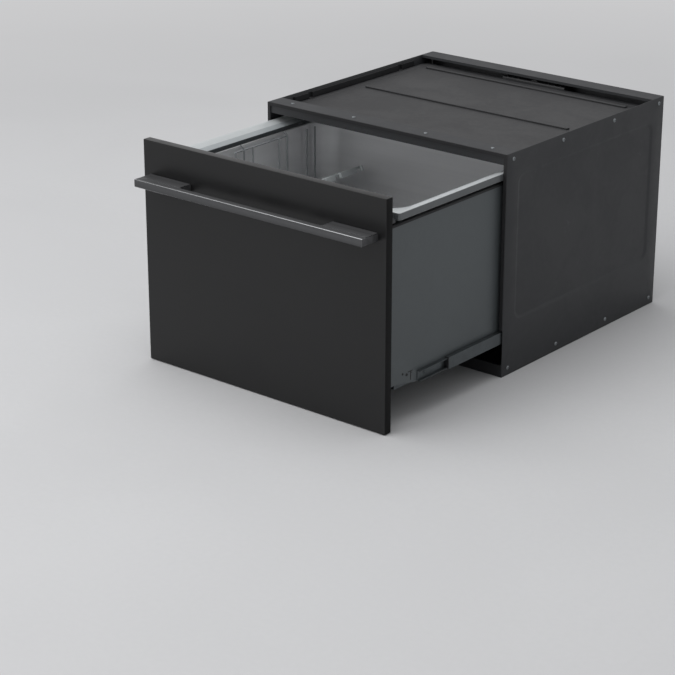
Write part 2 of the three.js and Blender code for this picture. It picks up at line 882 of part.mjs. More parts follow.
function linkCable() {
  const boxFront = chassisRear - shellSheet - seat - powerDepth - seat;
  const top = panBottom - cableGlandHeight - seat;
  return hose([
    [cableX, panHoleY, top],
    [cableX, panHoleY, top - 12],
    [156, -150, 26],
    [174, -128, 14],
    [186, -70, 9],
    [188, 20, 9],
    [176, 100, 12],
    [cableX, boxFront - 16, 22],
    [cableX, boxFront, 22],
  ], linkCableRadius, 44, 8);
}

// ------------------------------------------------------------------ front of the drawer

function frontPanel() {
  return box([-panelWidth / 2, panelWidth / 2], [0, panelThickness], [panelBottom, panelTop]);
}

// The handle's outline in plan: a bar with a thick block at each end that reaches the panel.
function handle() {
  const half = handleWidth / 2;
  const gap = handleGapWidth / 2;
  const front = -handleReach;
  const inside = front + handleBar;
  const corner = (x, y, from) => Array.from({ length: 5 }, (_, i) => {
    const turn = (from + i / 4) * Math.PI / 2;
    return [x + handleCorner * Math.cos(turn), y + handleCorner * Math.sin(turn)];
  });
  const outline = [
    [-half, front],
    [half, front],
    [half, -seat],
    [gap, -seat],
    ...corner(gap - handleCorner, inside + handleCorner, 3).reverse(),
    ...corner(-gap + handleCorner, inside + handleCorner, 2).reverse(),
    [-gap, -seat],
    [-half, -seat],
  ];
  const top = panelTop - handleDrop;
  const bar = drawn(outline, 'z', top - handleHeight, top);
  const groove = (side, z) => mirrored(box(
    [gap + handleGroove, half + handleGroove],
    [inside, inside + handleGroove],
    [z - handleGroove, z + handleGroove],
  ), side);
  return [top, top - handleHeight].reduce(
    (rest, z) => rest.subtract(groove(-1, z)).subtract(groove(1, z)),
    bar,
  );
}

// A pressed plate behind the panel, with a pad for each of the panel's two fixings.
function frontCarrier() {
  const half = wrapInner - seat;
  const narrow = shellInner - seat;
  const rear = carrierFront + carrierDepth;
  const top = wrapTop - wrapSheet - seat;
  const t = carrierSheet;
  const shelfRear = tubY - tubHalfLength - tubSheet - gasketInset;
  const pads = [-1, 1].map((side) => box(
    [side * padSpacing / 2 - padWidth / 2, side * padSpacing / 2 + padWidth / 2],
    [panelThickness + seat, carrierFront + t],
    [padBottom, wrapTop - padDrop],
  ));
  return join([
    ...pads,
    box([-half, half], [carrierFront, carrierFront + t], [carrierBottom, top]),
    box([-narrow, narrow], [carrierFront, carrierFront + t], [carrierBottom, wrapTop]),
    box([-narrow, narrow], [carrierFront, shelfRear], [wrapTop - t, wrapTop]),
    box([-half, -half + t], [carrierFront, rear], [carrierBottom, top]),
    box([half - t, half], [carrierFront, rear], [carrierBottom, top]),
    box([-half, half], [carrierFront, panFront - seat], [carrierBottom, carrierBottom + t]),
  ]);
}

function controlFascia() {
  const half = wrapHalf - fasciaSideGap;
  const narrow = half - 2 * fasciaRibInset;
  const front = panelThickness + running;
  const rear = rimFront - running;
  const bottom = wrapTop + seat;
  const slab = bottom + fasciaRib;
  const ribs = [front + fasciaRibInset, rear - fasciaRibInset].map((y) => box(
    [-narrow, narrow],
    [y - fasciaRibWidth / 2, y + fasciaRibWidth / 2],
    [bottom, slab],
  ));
  const plate = box([-half, half], [front, rear], [slab, slab + fasciaThickness]);
  const holes = [-1, 0, 1].map((place) => rod(
    [place * buttonPitch, (front + rear) / 2, slab - past],
    [place * buttonPitch, (front + rear) / 2, slab + fasciaThickness + past],
    buttonRadius + running,
    24,
  ));
  return holes.reduce((rest, hole) => rest.subtract(hole), join([plate, ...ribs]));
}

function button(place) {
  const y = (panelThickness + rimFront) / 2;
  const top = wrapTop + seat + fasciaRib + fasciaThickness + buttonStand;
  const bottom = wrapTop + seat + fasciaRib - buttonFoot + buttonTravel;
  return turned([
    [0, bottom],
    [buttonRadius, bottom],
    [buttonRadius, top - buttonCrown],
    [buttonRadius - buttonCrown, top],
    [0, top],
  ], [place * buttonPitch, y], 24);
}

function controlModule() {
  const front = carrierFront + carrierSheet + seat;
  const top = wrapTop - moduleDrop;
  return box(
    [-moduleWidth / 2, moduleWidth / 2],
    [front, front + moduleDepth],
    [top - moduleHeight, top],
  );
}

// ------------------------------------------------------------------ drawer shell

function sideWrap(side) {
  const rise = Array.from({ length: 7 }, (_, i) => {
    const t = i / 6;
    const ease = t * t * (3 - 2 * t);
    const y = wrapFront + wrapSweepEnd + (wrapSweepStart - wrapSweepEnd) * t;
    return [y, wrapBottom + wrapSweep * ease];
  });
  const outline = [
    [wrapRear, wrapBottom],
    [wrapRear, wrapTop],
    [wrapFront, wrapTop],
    [wrapFront, wrapBottom + wrapSweep],
    ...rise.reverse(),
  ];
  const web = drawn(outline, 'x', wrapInner, wrapHalf);
  const top = box([shellInner, wrapHalf], [wrapFront, wrapRear], [wrapTop - wrapSheet, wrapTop]);
  const foot = box(
    [panHalf + seat, wrapHalf],
    [wrapFront + wrapSweepEnd, wrapRear],
    [wrapBottom, wrapBottom + wrapSheet],
  );
  return mirrored(join([web, top, foot]), side);
}

function rearWrap() {
  const half = wrapInner - seat;
  const narrow = shellInner - seat;
  const t = wrapSheet;
  const shelf = tubY + tubHalfLength + tubSheet + gasketInset;
  return join([
    box([-half, half], [wrapRear - t, wrapRear], [wrapBottom + t + seat, wrapTop - t - seat]),
    box([-narrow, narrow], [wrapRear - t, wrapRear], [wrapBottom, wrapTop]),
    box([-narrow, narrow], [shelf, wrapRear], [wrapTop - t, wrapTop]),
    box([-narrow, narrow], [panRear + seat, wrapRear], [wrapBottom, wrapBottom + t]),
  ]);
}

function drawerBase() {
  const half = panHalf;
  const t = panSheet;
  const y = [panFront, panRear];
  const z = [panBottom, panBottom + panHeight];
  const pan = box([-half, half], y, z).subtract(box(
    [-half + t, half - t],
    [panFront + t, panRear - t],
    [panBottom + t, panBottom + panHeight + past],
  ));
  const outlet = rod(
    [pumpX, pumpY, panBottom - past],
    [pumpX, pumpY, panBottom + t + past],
    pumpOutlet + running,
  );
  const gland = rod(
    [cableX, pumpY, panBottom - cableGlandHeight],
    [cableX, pumpY, panBottom + t / 2],
    cableGland,
  );
  return pan.subtract(outlet).add(gland);
}

function rimFrame() {
  const under = rimTop - rimBand;
  return frameRing([
    [0, under],
    [0, rimTop],
    [rimFlat, rimTop],
    [rimSlope, rimTop - rimBevelDrop],
    [rimSlope, rimBottom],
    [rimNeck, rimBottom],
    [rimNeck, under],
  ], {
    y: tubY,
    half: rimHalf,
    halfLength: rimHalfLength,
    corners: (inward) => evenCorners(rimCorner + (openingCorner - rimCorner) * inward / rimSlope),
    steps: 8,
  });
}

function rimGasket() {
  const low = wrapTop + seat;
  return frameRing(
    [[0, low], [0, gasketTop], [gasketWidth, gasketTop], [gasketWidth, low]],
    {
      y: tubY,
      half: tubHalf + gasketInset + gasketWidth,
      halfLength: tubHalfLength + gasketInset + gasketWidth,
      corners: (inward) => evenCorners(openingCorner + gasketWidth - inward),
      steps: 8,
    },
  );
}

function tub() {
  const level = (inset, radius, z) => roundLoop({
    y: tubY,
    half: tubHalf - inset,
    halfLength: tubHalfLength - inset,
    corners: evenCorners(radius),
    z,
    steps: 8,
  });
  const round = (radius, z) => roundLoop({
    y: tubY,
    half: radius,
    halfLength: radius,
    corners: evenCorners(radius),
    z,
    steps: 8,
  });
  const t = tubSheet;
  const foot = ledgeWidth + tubFoot;
  const lipZ = tubFloor - tubFloorFall;
  const corner = openingCorner;
  return skin([
    round(sumpRadius + t, sumpFloor - t),
    round(sumpRadius + t, lipZ - t),
    level(foot - t + tubFootRise, corner - ledgeWidth, tubFloor - t),
    level(foot - t, corner - ledgeWidth, tubFloor - t + tubFootRise),
    level(ledgeWidth - t, corner - ledgeWidth + t, ledgeHeight - t),
    level(-t, corner + t, ledgeHeight - t),
    level(-t, corner + t, flangeTop - t),
    level(-tubFlange, corner + tubFlange, flangeTop - t),
    level(-tubFlange, corner + tubFlange, flangeTop),
    level(0, corner, flangeTop),
    level(0, corner, ledgeHeight),
    level(ledgeWidth, corner - ledgeWidth, ledgeHeight),
    level(foot, corner - ledgeWidth - t, tubFloor + tubFootRise),
    level(foot + tubFootRise, corner - ledgeWidth - t, tubFloor),
    round(sumpRadius, lipZ),
    round(sumpRadius, sumpFloor),
  ]);
}

function insulation() {
  const low = ledgeHeight + insulationBottomGap;
  const high = wrapTop - wrapSheet - insulationTopGap;
  const outside = tubSheet + seat + insulationThickness; // from the inner face of the tub
  return frameRing(
    [[0, low], [0, high], [insulationThickness, high], [insulationThickness, low]],
    {
      y: tubY,
      half: tubHalf + outside,
      halfLength: tubHalfLength + outside,
      corners: (inward) => evenCorners(openingCorner + outside - inward),
      steps: 8,
    },
  );
}

// ------------------------------------------------------------------ wash system

function washMotor() {
  const low = panBottom + panSheet + seat;
  const high = sumpFloor - tubSheet - seat;
  const step = (high - low) / 3;
  return turned([
    [0, low],
    [motorRadius - 2 * motorStep, low],
    [motorRadius - motorStep, low + step],
    [motorRadius, low + step],
    [motorRadius, high],
    [0, high],
  ], [0, tubY], 36);
}

function drainPump() {
  const low = panBottom + panSheet + seat;
  const pipeZ = low + pumpHeight / 2;
  const body = turned([
    [0, low],
    [pumpRadius, low],
    [pumpRadius, low + pumpHeight - pumpShoulder],
    [pumpRadius - pumpShoulder, low + pumpHeight],
    [0, low + pumpHeight],
  ], [pumpX, pumpY], 24);
  const away = new THREE.Vector2(pumpX, pumpY - tubY);
  const near = away.clone().normalize().multiplyScalar(motorRadius + 3 * running);
  const pipe = rod([near.x, tubY + near.y, pipeZ], [pumpX, pumpY, pipeZ], pumpPipe, 12);
  const end = panBottom - pumpOutletReach;
  const outlet = rod([pumpX, pumpY, end], [pumpX, pumpY, pipeZ], pumpOutlet, 20);
  return join([body, pipe, outlet]);
}

// A disc over the sump on a skirt, with the spray arm's hub and a hole for the filter.
function filterPlate() {
  const outer = sumpRadius - running;
  const under = plateTop - plateThickness;
  const foot = sumpFloor + seat;
  const plate = turned([
    [outer - skirtThickness, foot],
    [outer, foot],
    [outer, plateTop],
    [hubRadius + hubFlare, plateTop],
    [hubRadius, plateTop + hubFlareHeight],
    [hubRadius, hubTop],
    [hubPin, hubTop],
    [hubPin, hubTop + hubPinHeight],
    [0, hubTop + hubPinHeight],
    [0, under],
    [outer - skirtThickness, under],
    [outer - skirtThickness, foot],
  ], [0, tubY], 36);
  const hole = rod(
    [filterX, tubY, under - past],
    [filterX, tubY, plateTop + past],
    filterRadius + running,
    24,
  );
  return plate.subtract(hole);
}

function drainFilter() {
  const low = plateTop - filterDepth;
  const flange = plateTop + running;
  const flangeHigh = flange + filterFlangeThickness;
  const cup = turned([
    [0, low],
    [filterRadius - filterEdge, low],
    [filterRadius, low + filterEdge],
    [filterRadius, flange],
    [filterFlange, flange],
    [filterFlange, flangeHigh],
    [0, flangeHigh],
  ], [filterX, tubY], 24);
  const grip = box(
    [filterX - filterGripLength / 2, filterX + filterGripLength / 2],
    [tubY - filterGripWidth / 2, tubY + filterGripWidth / 2],
    [flangeHigh - filterFlangeThickness / 2, flangeHigh + filterGripHeight],
  );
  return cup.add(grip);
}

function sprayArm() {
  const low = hubTop + running;
  const tip = armTipWidth / 2;
  const straight = armRadius - tip;
  const end = (side) => Array.from({ length: 7 }, (_, i) => {
    const turn = (i / 6 - 0.5) * Math.PI;
    return [side * (straight + tip * Math.cos(turn)), side * tip * Math.sin(turn)];
  });
  const upper = [...armBulge, ...armBulge.map(([x, y]) => [-x, y]).reverse()];
  const lower = upper.map(([x, y]) => [-x, -y]);
  const outline = [...end(1), ...upper, ...end(-1), ...lower].map(([x, y]) => [x, y + tubY]);
  const arm = drawn(outline, 'z', low, low + armThickness);
  const boreTop = hubTop + hubPinHeight + running;
  const bore = rod([0, tubY, low - past], [0, tubY, boreTop], hubPin + running, 20);
  return arm.subtract(bore);
}

// ------------------------------------------------------------------ detergent dispenser

const dispenserTop = rimTop - dispenserDrop;
const dispenserBottom = wallZ + rackWire + dispenserRise;
const dispenserHeight = dispenserTop - dispenserBottom;
const dispenserBack = tubY - tubHalfLength + seat;
const dispenserFace = dispenserBack + dispenserDepth;
const cupX = dispenserX + cupInset;
const cupZ = dispenserBottom + cupMargin;
const cupHeight = dispenserHeight - 2 * cupMargin;
const capCentreX = dispenserX + capX;
const capZ = dispenserBottom + dispenserHeight / 2;
const doorY = dispenserFace + running + doorThickness / 2 + running;
const doorZ = cupZ - doorLap - doorThickness / 2;

function dispenserBody() {
  const body = box(
    [dispenserX, dispenserX + dispenserWidth],
    [dispenserBack, dispenserFace],
    [dispenserBottom, dispenserTop],
  );
  const cup = box(
    [cupX, cupX + cupWidth],
    [dispenserFace - cupDepth, dispenserFace + past],
    [cupZ, cupZ + cupHeight],
  );
  const neck = rod(
    [capCentreX, dispenserFace - capPlugDepth - past, capZ],
    [capCentreX, dispenserFace + past, capZ],
    capPlug + running,
    24,
  );
  return body.subtract(cup).subtract(neck);
}

function dispenserDoor() {
  const half = doorThickness / 2;
  const foot = Array.from({ length: 7 }, (_, i) => {
    const turn = Math.PI + i * Math.PI / 6;
    return [doorY + half * Math.cos(turn), doorZ + half * Math.sin(turn)];
  });
  const top = cupZ + cupHeight + doorLap;
  const outline = [...foot, [doorY + half, top], [doorY - half, top]];
  return drawn(outline, 'x', cupX - doorLap, cupX + cupWidth + doorLap);
}

function rinseAidCap() {
  const face = dispenserFace + running;
  const rear = face - capPlugDepth;
  const front = face + capThickness;
  const disc = rod([capCentreX, face, capZ], [capCentreX, front, capZ], capRadius, 28);
  const plug = rod([capCentreX, rear, capZ], [capCentreX, front, capZ], capPlug, 24);
  const grip = box(
    [capCentreX - capGripWidth / 2, capCentreX + capGripWidth / 2],
    [face, front + capGrip],
    [capZ - capGripLength / 2, capZ + capGripLength / 2],
  );
  return join([disc, plug, grip]);
}

// ------------------------------------------------------------------ racks

// The level grille of one half of the lower rack, drawn on the right.
function rackFloor(side) {
  const hexagon = Array.from({ length: 6 }, (_, i) => {
    const turn = (i + 0.5) * Math.PI / 3;
    return [rackWire - rackWire * Math.cos(turn), frameWireZ + rackWire * Math.sin(turn)];
  });
  const frame = frameRing(hexagon.reverse(), {
    x: (rackInner + rackOuter) / 2,
    y: tubY,
    half: (rackOuter - rackInner) / 2 + rackWire,
    halfLength: rackHalfLength + rackWire,
    corners: (inward) => {
      const outer = rackCorner + rackWire - inward;
      const inner = rackInnerCorner + rackWire - inward;
      return [outer, inner, inner, outer];
    },
    steps: 5,
  });
  const across = crossPlaces.map((y) => wire(
    [[rackInner, y, crossWireZ], [rackOuter, y, crossWireZ]],
    rackRod,
  ));
  const along = lengthPlaces.map((x) => wire(
    [[x, tubY - rackHalfLength, frameWireZ], [x, tubY + rackHalfLength, frameWireZ]],
    rackRod,
  ));
  return mirrored(join([frame, ...across, ...along]), side);
}

// The top wire of a rack's wall. It stands on the frame wire at the front inner corner, goes
// round the outside and comes down again at the rear inner corner.
function wallPath() {
  const bend = (centreX, centreY, from) => Array.from({ length: 6 }, (_, i) => {
    const turn = (from + i / 5) * Math.PI / 2;
    return [centreX + rackCorner * Math.cos(turn), centreY + rackCorner * Math.sin(turn), wallZ];
  });
  const inner = rackInner + rackInnerCorner;
  const foot = frameWireZ + rackWire + seat;
  return [
    [inner, tubY - rackHalfLength, foot],
    [inner, tubY - rackHalfLength, wallZ],
    ...bend(rackOuter - rackCorner, tubY - rackHalfLength + rackCorner, 3),
    ...bend(rackOuter - rackCorner, tubY + rackHalfLength - rackCorner, 0),
    [inner, tubY + rackHalfLength, wallZ],
    [inner, tubY + rackHalfLength, foot],
  ];
}

// The upright wires round one half of the rack. With a guard, some on its outer side are tall.
function rackSides(side, guard) {
  const outer = crossPlaces.map((y, i) => {
    const tall = guard && guardWires.includes(i);
    const path = [[guardX, y, wiresTop + seat], [guardX, y, tall ? guardZ : wallZ]];
    if (guard && hookWires.includes(i)) {
      path.push([guardX + guardHook / 2, y, guardZ + guardHook]);
    }
    return wire(path, rackRod);
  });
  const reach = rackHalfLength - rackWire - rackRod + rackWeld;
  const ends = lengthPlaces.flatMap((x) => [-1, 1].map((end) => wire([
    [x, tubY + end * reach, frameWireZ + rackWire + seat],
    [x, tubY + end * reach, wallZ],
  ], rackRod)));
  const pieces = [wire(wallPath(), rackWire), ...outer, ...ends];
  if (guard) {
    const tall = guardWires.map((i) => crossPlaces[i]);
    const x = guardX + rackRod;
    const z = guardZ - rackWire;
    const from = tall[0] - guardLap;
    const to = tall[tall.length - 1] + guardLap;
    pieces.push(wire([[x, from, z], [x, to, z]], rackRod));
  }
  return mirrored(join(pieces), side);
}

// A row of upright tines on a rod that lies across the rack's wires.
function tineRow(x) {
  const first = tubY - (tineCount - 1) * tinePitch / 2;
  const last = first + (tineCount - 1) * tinePitch;
  const lap = tinePitch / 3;
  const base = wire([[x, first - lap, tineRodZ], [x, last + lap, tineRodZ]], tineRod);
  const tines = Array.from({ length: tineCount }, (_, i) => wire(
    [[x, first + i * tinePitch, tineRodZ], [x, first + i * tinePitch, tineRodZ + tineHeight]],
    tineRadius,
  ));
  return join([base, ...tines]);
}

// A cup rack, drawn flat from its hinge rod: a ribbed frame with a notched outer edge.
function cupRack() {
  const half = cupRackThickness / 2;
  const z = [-half, half];
  const plate = box([0, cupRackLength], [0, cupRackWidth], z);
  const pitch = (cupRackLength - cupRackBar) / cupRackRibs;
  const slots = Array.from({ length: cupRackRibs }, (_, i) => box(
    [cupRackBar + i * pitch, (i + 1) * pitch],
    [cupRackBar, cupRackWidth - cupRackBar],
    [-half - past, half + past],
  ));
  const notches = Array.from({ length: cupRackNotches }, (_, i) => {
    const y = (i + 0.5) * cupRackWidth / cupRackNotches;
    return box(
      [cupRackLength - cupRackNotchDepth, cupRackLength + past],
      [y - cupRackNotch / 2, y + cupRackNotch / 2],
      [-half - past, half + past],
    );
  });
  const hinge = rod([0, 0, 0], [0, cupRackWidth, 0], cupRackRod, 12);
  return [...slots, ...notches].reduce((rest, cut) => rest.subtract(cut), plate).add(hinge);
}

function cutleryBasket() {
  const low = wiresTop + seat;
  const high = low + basketHeight;
  const x = [basketX, basketX + basketWidth];
  const y = [basketY, basketY + basketLength];
  const cell = (basketWidth - (basketCells + 1) * basketWall) / basketCells;
  const cells = Array.from({ length: basketCells }, (_, i) => {
    const start = basketX + basketWall + i * (cell + basketWall);
    const room = [low + basketWall, high + past];
    return box([start, start + cell], [y[0] + basketWall, y[1] - basketWall], room);
  });
  const body = cells.reduce((rest, space) => rest.subtract(space), box(x, y, [low, high]));
  const handleY = basketY + basketLength / 2;
  const divider = basketX + basketWall + cell;
  const inset = basketHandleWidth / 2;
  const left = divider + basketWall / 2;
  const right = basketX + basketWidth - left + basketX;
  const hoop = wire([
    [left, handleY, high - inset],
    [left, handleY, high + basketHandle],
    [right, handleY, high + basketHandle],
    [right, handleY, high - inset],
  ], inset, 8);
  return body.add(hoop);
}

// ------------------------------------------------------------------ assembly

const object = new THREE.Group();

const chassis = new THREE.Group();
object.add(chassis);
addPart(chassis, 'base_tray', baseTray(), shellPaint);
addPart(chassis, 'side_panel_left', sideSheet(-1), shellPaint);
addPart(chassis, 'side_panel_right', sideSheet(1), shellPaint);
addPart(chassis, 'rear_panel', rearPanel(), shellPaint);
addPart(chassis, 'top_brace_front', topBrace(true), shellPaint);
addPart(chassis, 'top_brace_rear', topBrace(false), shellPaint);
addPart(chassis, 'front_seal', frontSeal(), blackRubber);
addPart(chassis, 'toe_trim', toeTrim(), blackPlastic);
addPart(chassis, 'runner_outer_left', runnerOuter(-1), zinc);
addPart(chassis, 'runner_outer_right', runnerOuter(1), zinc);
addPart(chassis, 'lid_guide_left', lidGuide(-1), blackPlastic);
addPart(chassis, 'lid_guide_right', lidGuide(1), blackPlastic);
addPart(chassis, 'lid_actuator', lidActuator(), blackPlastic);
addPart(chassis, 'inlet_valve', inletValve(), whitePlastic);
addPart(chassis, 'drain_spigot', drainSpigotBlock(), blackPlastic);
addPart(chassis, 'power_box', powerBox(), greyPlastic);
addPart(chassis, 'link_drain_hose', linkHose(), greyRubber);
addPart(chassis, 'link_cable', linkCable(), blackRubber);
addPart(chassis, 'lid', lid(), blackPlastic);
addPart(chassis, 'lid_seal', lidSeal(), greyRubber);
addPart(chassis, 'runner_mid_left', runnerMid(-1), zinc);
addPart(chassis, 'runner_mid_right', runnerMid(1), zinc);

const drawer = new THREE.Group();
drawer.position.y = drawerY;
object.add(drawer);
addPart(drawer, 'front_panel', frontPanel(), lacquer);
addPart(drawer, 'handle', handle(), handleMetal);
addPart(drawer, 'front_carrier', frontCarrier(), zinc);
addPart(drawer, 'control_fascia', controlFascia(), darkGreyPlastic);
addPart(drawer, 'control_module', controlModule(), blackPlastic);
addPart(drawer, 'side_wrap_left', sideWrap(-1), wrapPaint);
addPart(drawer, 'side_wrap_right', sideWrap(1), wrapPaint);
addPart(drawer, 'rear_wrap', rearWrap(), wrapPaint);
addPart(drawer, 'drawer_base', drawerBase(), zinc);
addPart(drawer, 'runner_inner_left', runnerInner(-1), zinc);
addPart(drawer, 'runner_inner_right', runnerInner(1), zinc);
addPart(drawer, 'tub', tub(), stainless);
addPart(drawer, 'rim_frame', rimFrame(), rimPlastic);
addPart(drawer, 'rim_gasket', rimGasket(), blackRubber);
addPart(drawer, 'insulation', insulation(), felt);
addPart(drawer, 'wash_motor', washMotor(), blackPlastic);
addPart(drawer, 'drain_pump', drainPump(), blackPlastic);
addPart(drawer, 'filter_plate', filterPlate(), stainless);
addPart(drawer, 'drain_filter', drainFilter(), darkGreyPlastic);
addPart(drawer, 'spray_arm', sprayArm(), greyPlastic);
addPart(drawer, 'dispenser_body', dispenserBody(), darkGreyPlastic);
addPart(drawer, 'dispenser_door', dispenserDoor(), greyPlastic);
addPart(drawer, 'rinse_aid_cap', rinseAidCap(), whitePlastic);
addPart(drawer, 'left_rack_floor', rackFloor(-1), coatedWire);
addPart(drawer, 'left_rack_sides', rackSides(-1, true), coatedWire);
addPart(drawer, 'right_rack_floor', rackFloor(1), coatedWire);
addPart(drawer, 'right_rack_sides', rackSides(1, false), coatedWire);
addPart(drawer, 'cutlery_basket', cutleryBasket(), greyPlastic);
addPart(drawer, 'button_power', button(-1), blackPlastic);
addPart(drawer, 'button_program', button(0), blackPlastic);
addPart(drawer, 'button_start', button(1), blackPlastic);

tineRowPlaces.forEach((x, i) => {
  addPart(drawer, `tine_row_${i + 1}`, tineRow(x), coatedWire);
});

['front', 'rear'].forEach((place, i) => {
  const hinge = new THREE.Group();
  const pivotX = -guardX + rackRod + running + cupRackRod;
  hinge.position.set(pivotX, cupRackFront + i * (cupRackWidth + cupRackGap), cupRackHeight);
  hinge.rotation.y = -THREE.MathUtils.degToRad(cupRackTilt);
  drawer.add(hinge);
  addPart(hinge, `cup_rack_${place}`, cupRack(), greyPlastic);
});

export default object;
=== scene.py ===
"""Looks of a pull-out dishwasher drawer, built round its packed frame.

Lengths are in metres. X is to the right of someone facing the front board, Y goes back along
the runners and Z is up. The drawer stands open, as the frame holds it.
"""

import json
import math

import bpy
import numpy as np
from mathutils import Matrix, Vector


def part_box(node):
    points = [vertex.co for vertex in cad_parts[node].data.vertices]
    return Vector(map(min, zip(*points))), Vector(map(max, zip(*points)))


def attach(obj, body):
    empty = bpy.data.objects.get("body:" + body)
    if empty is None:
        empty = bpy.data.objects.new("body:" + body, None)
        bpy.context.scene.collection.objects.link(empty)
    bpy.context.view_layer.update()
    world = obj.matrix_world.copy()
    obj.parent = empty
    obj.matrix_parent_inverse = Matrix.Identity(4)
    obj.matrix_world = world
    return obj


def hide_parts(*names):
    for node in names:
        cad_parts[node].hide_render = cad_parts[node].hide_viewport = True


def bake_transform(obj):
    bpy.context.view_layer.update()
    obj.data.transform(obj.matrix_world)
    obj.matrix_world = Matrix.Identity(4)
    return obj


bl_info = {
    "name": "Dishwasher Drawer",
    "version": (1, 0, 0),
    "blender": (4, 5, 0),
    "location": "View3D > Sidebar > Drawer",
    "description": "Builds the looks of a pull-out dishwasher drawer round its packed frame",
    "category": "Object",
}

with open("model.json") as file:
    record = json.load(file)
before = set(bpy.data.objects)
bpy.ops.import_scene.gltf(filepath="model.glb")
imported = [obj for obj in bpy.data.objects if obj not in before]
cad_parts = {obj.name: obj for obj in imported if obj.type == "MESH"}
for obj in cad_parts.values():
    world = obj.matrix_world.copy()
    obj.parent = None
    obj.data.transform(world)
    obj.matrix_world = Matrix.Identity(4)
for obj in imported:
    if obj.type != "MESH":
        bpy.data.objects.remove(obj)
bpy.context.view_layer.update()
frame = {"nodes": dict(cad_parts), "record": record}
NODES = frame["nodes"]
SLOT_OF = {part["node"]: part["material_slot"] for part in frame["record"]["subparts"]}
SIDES = ((-1, "left"), (1, "right"))
PLANES = {"x": [1, 2, 0], "y": [0, 2, 1], "z": [0, 1, 2]}  # the two axes across, and the one along
FINISHES, GROUPS_MADE = {}, {}


def span(node):
    """Lowest corner, highest corner, middle and half size of a frame node."""
    low, high = (np.array(corner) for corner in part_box(node))
    return low, high, (low + high) / 2, (high - low) / 2


# ---------------------------------------------------------------- settings


def length(name, description, default):
    """A length property."""
    return bpy.props.FloatProperty(
        name=name, description=description, default=default, precision=5, unit="LENGTH"
    )


def angle(name, description, degrees):
    """An angle property."""
    return bpy.props.FloatProperty(
        name=name, description=description, default=math.radians(degrees), unit="ROTATION"
    )


def number(name, description, default):
    """A plain number."""
    return bpy.props.FloatProperty(name=name, description=description, default=default)


def colour(name, description, default):
    """A colour property, as it is seen on a screen."""
    return bpy.props.FloatVectorProperty(
        name=name, description=description, default=default, size=3, min=0, max=1,
        subtype="COLOR_GAMMA",
    )


class DrawerSizes(bpy.types.PropertyGroup):
    """Sizes of the drawer's visible pieces."""

    board_edge: length("Board edge", "Radius of the front board's edges", 0.0009)
    handle_edge: length("Handle chamfer", "Width of the handle's polished chamfer", 0.0009)
    handle_bar: length("Handle bar", "Depth of the bar across the finger gap", 0.014)
    handle_block: length("Handle block", "Length of each end block", 0.105)
    rim_width: length("Rim width", "Width of the rim from its outer face to its lip", 0.031)
    rim_flat: length("Rim flat", "Width of the rim's level top", 0.006)
    rim_crease: length("Rim crease", "How far in the rim's crease lies", 0.020)
    rim_fall: length("Rim fall", "Height that the rim falls up to its crease", 0.0045)
    rim_drop: length("Rim drop", "Height that the rim falls up to its lip", 0.0100)
    rim_lip: length("Rim lip", "Height of the lip", 0.0090)
    rim_corner: length("Rim corner", "Radius of the rim's outer corners", 0.006)
    opening_corner: length("Opening corner", "Radius of the tub's corners", 0.050)
    tub_sheet: length("Tub sheet", "Thickness of the tub's steel", 0.0008)
    tub_bend: length("Tub bend", "How far the tub's bends reach from their corners", 0.005)
    frame_wire: length("Frame wire", "Radius of the racks' frame wires", 0.002)
    cross_wire: length("Cross wire", "Radius of the racks' thinner wires", 0.00175)
    hook_reach: length("Hook reach", "How far the guard's hooks bend to the wall", 0.0055)
    tine_height: length("Tine height", "Height of the tines above their rod", 0.058)
    cup_rack_tilt: angle("Cup rack tilt", "Tilt of the cup racks", 25)
    cup_rack_bar: length("Cup rack bar", "Width of the cup racks' outer bars", 0.009)
    cup_tooth: length("Cup rack tooth", "How far the edge's teeth hang under the rack", 0.0070)
    basket_wall: length("Basket wall", "Thickness of the cutlery basket's walls", 0.002)
    basket_pitch: length("Basket pitch", "Distance between the basket's upright ribs", 0.0072)
    hose_rib: length("Hose rib", "Distance between the drain hose's ribs", 0.0055)
    screw: length("Screw", "Radius of the screws' heads", 0.0042)


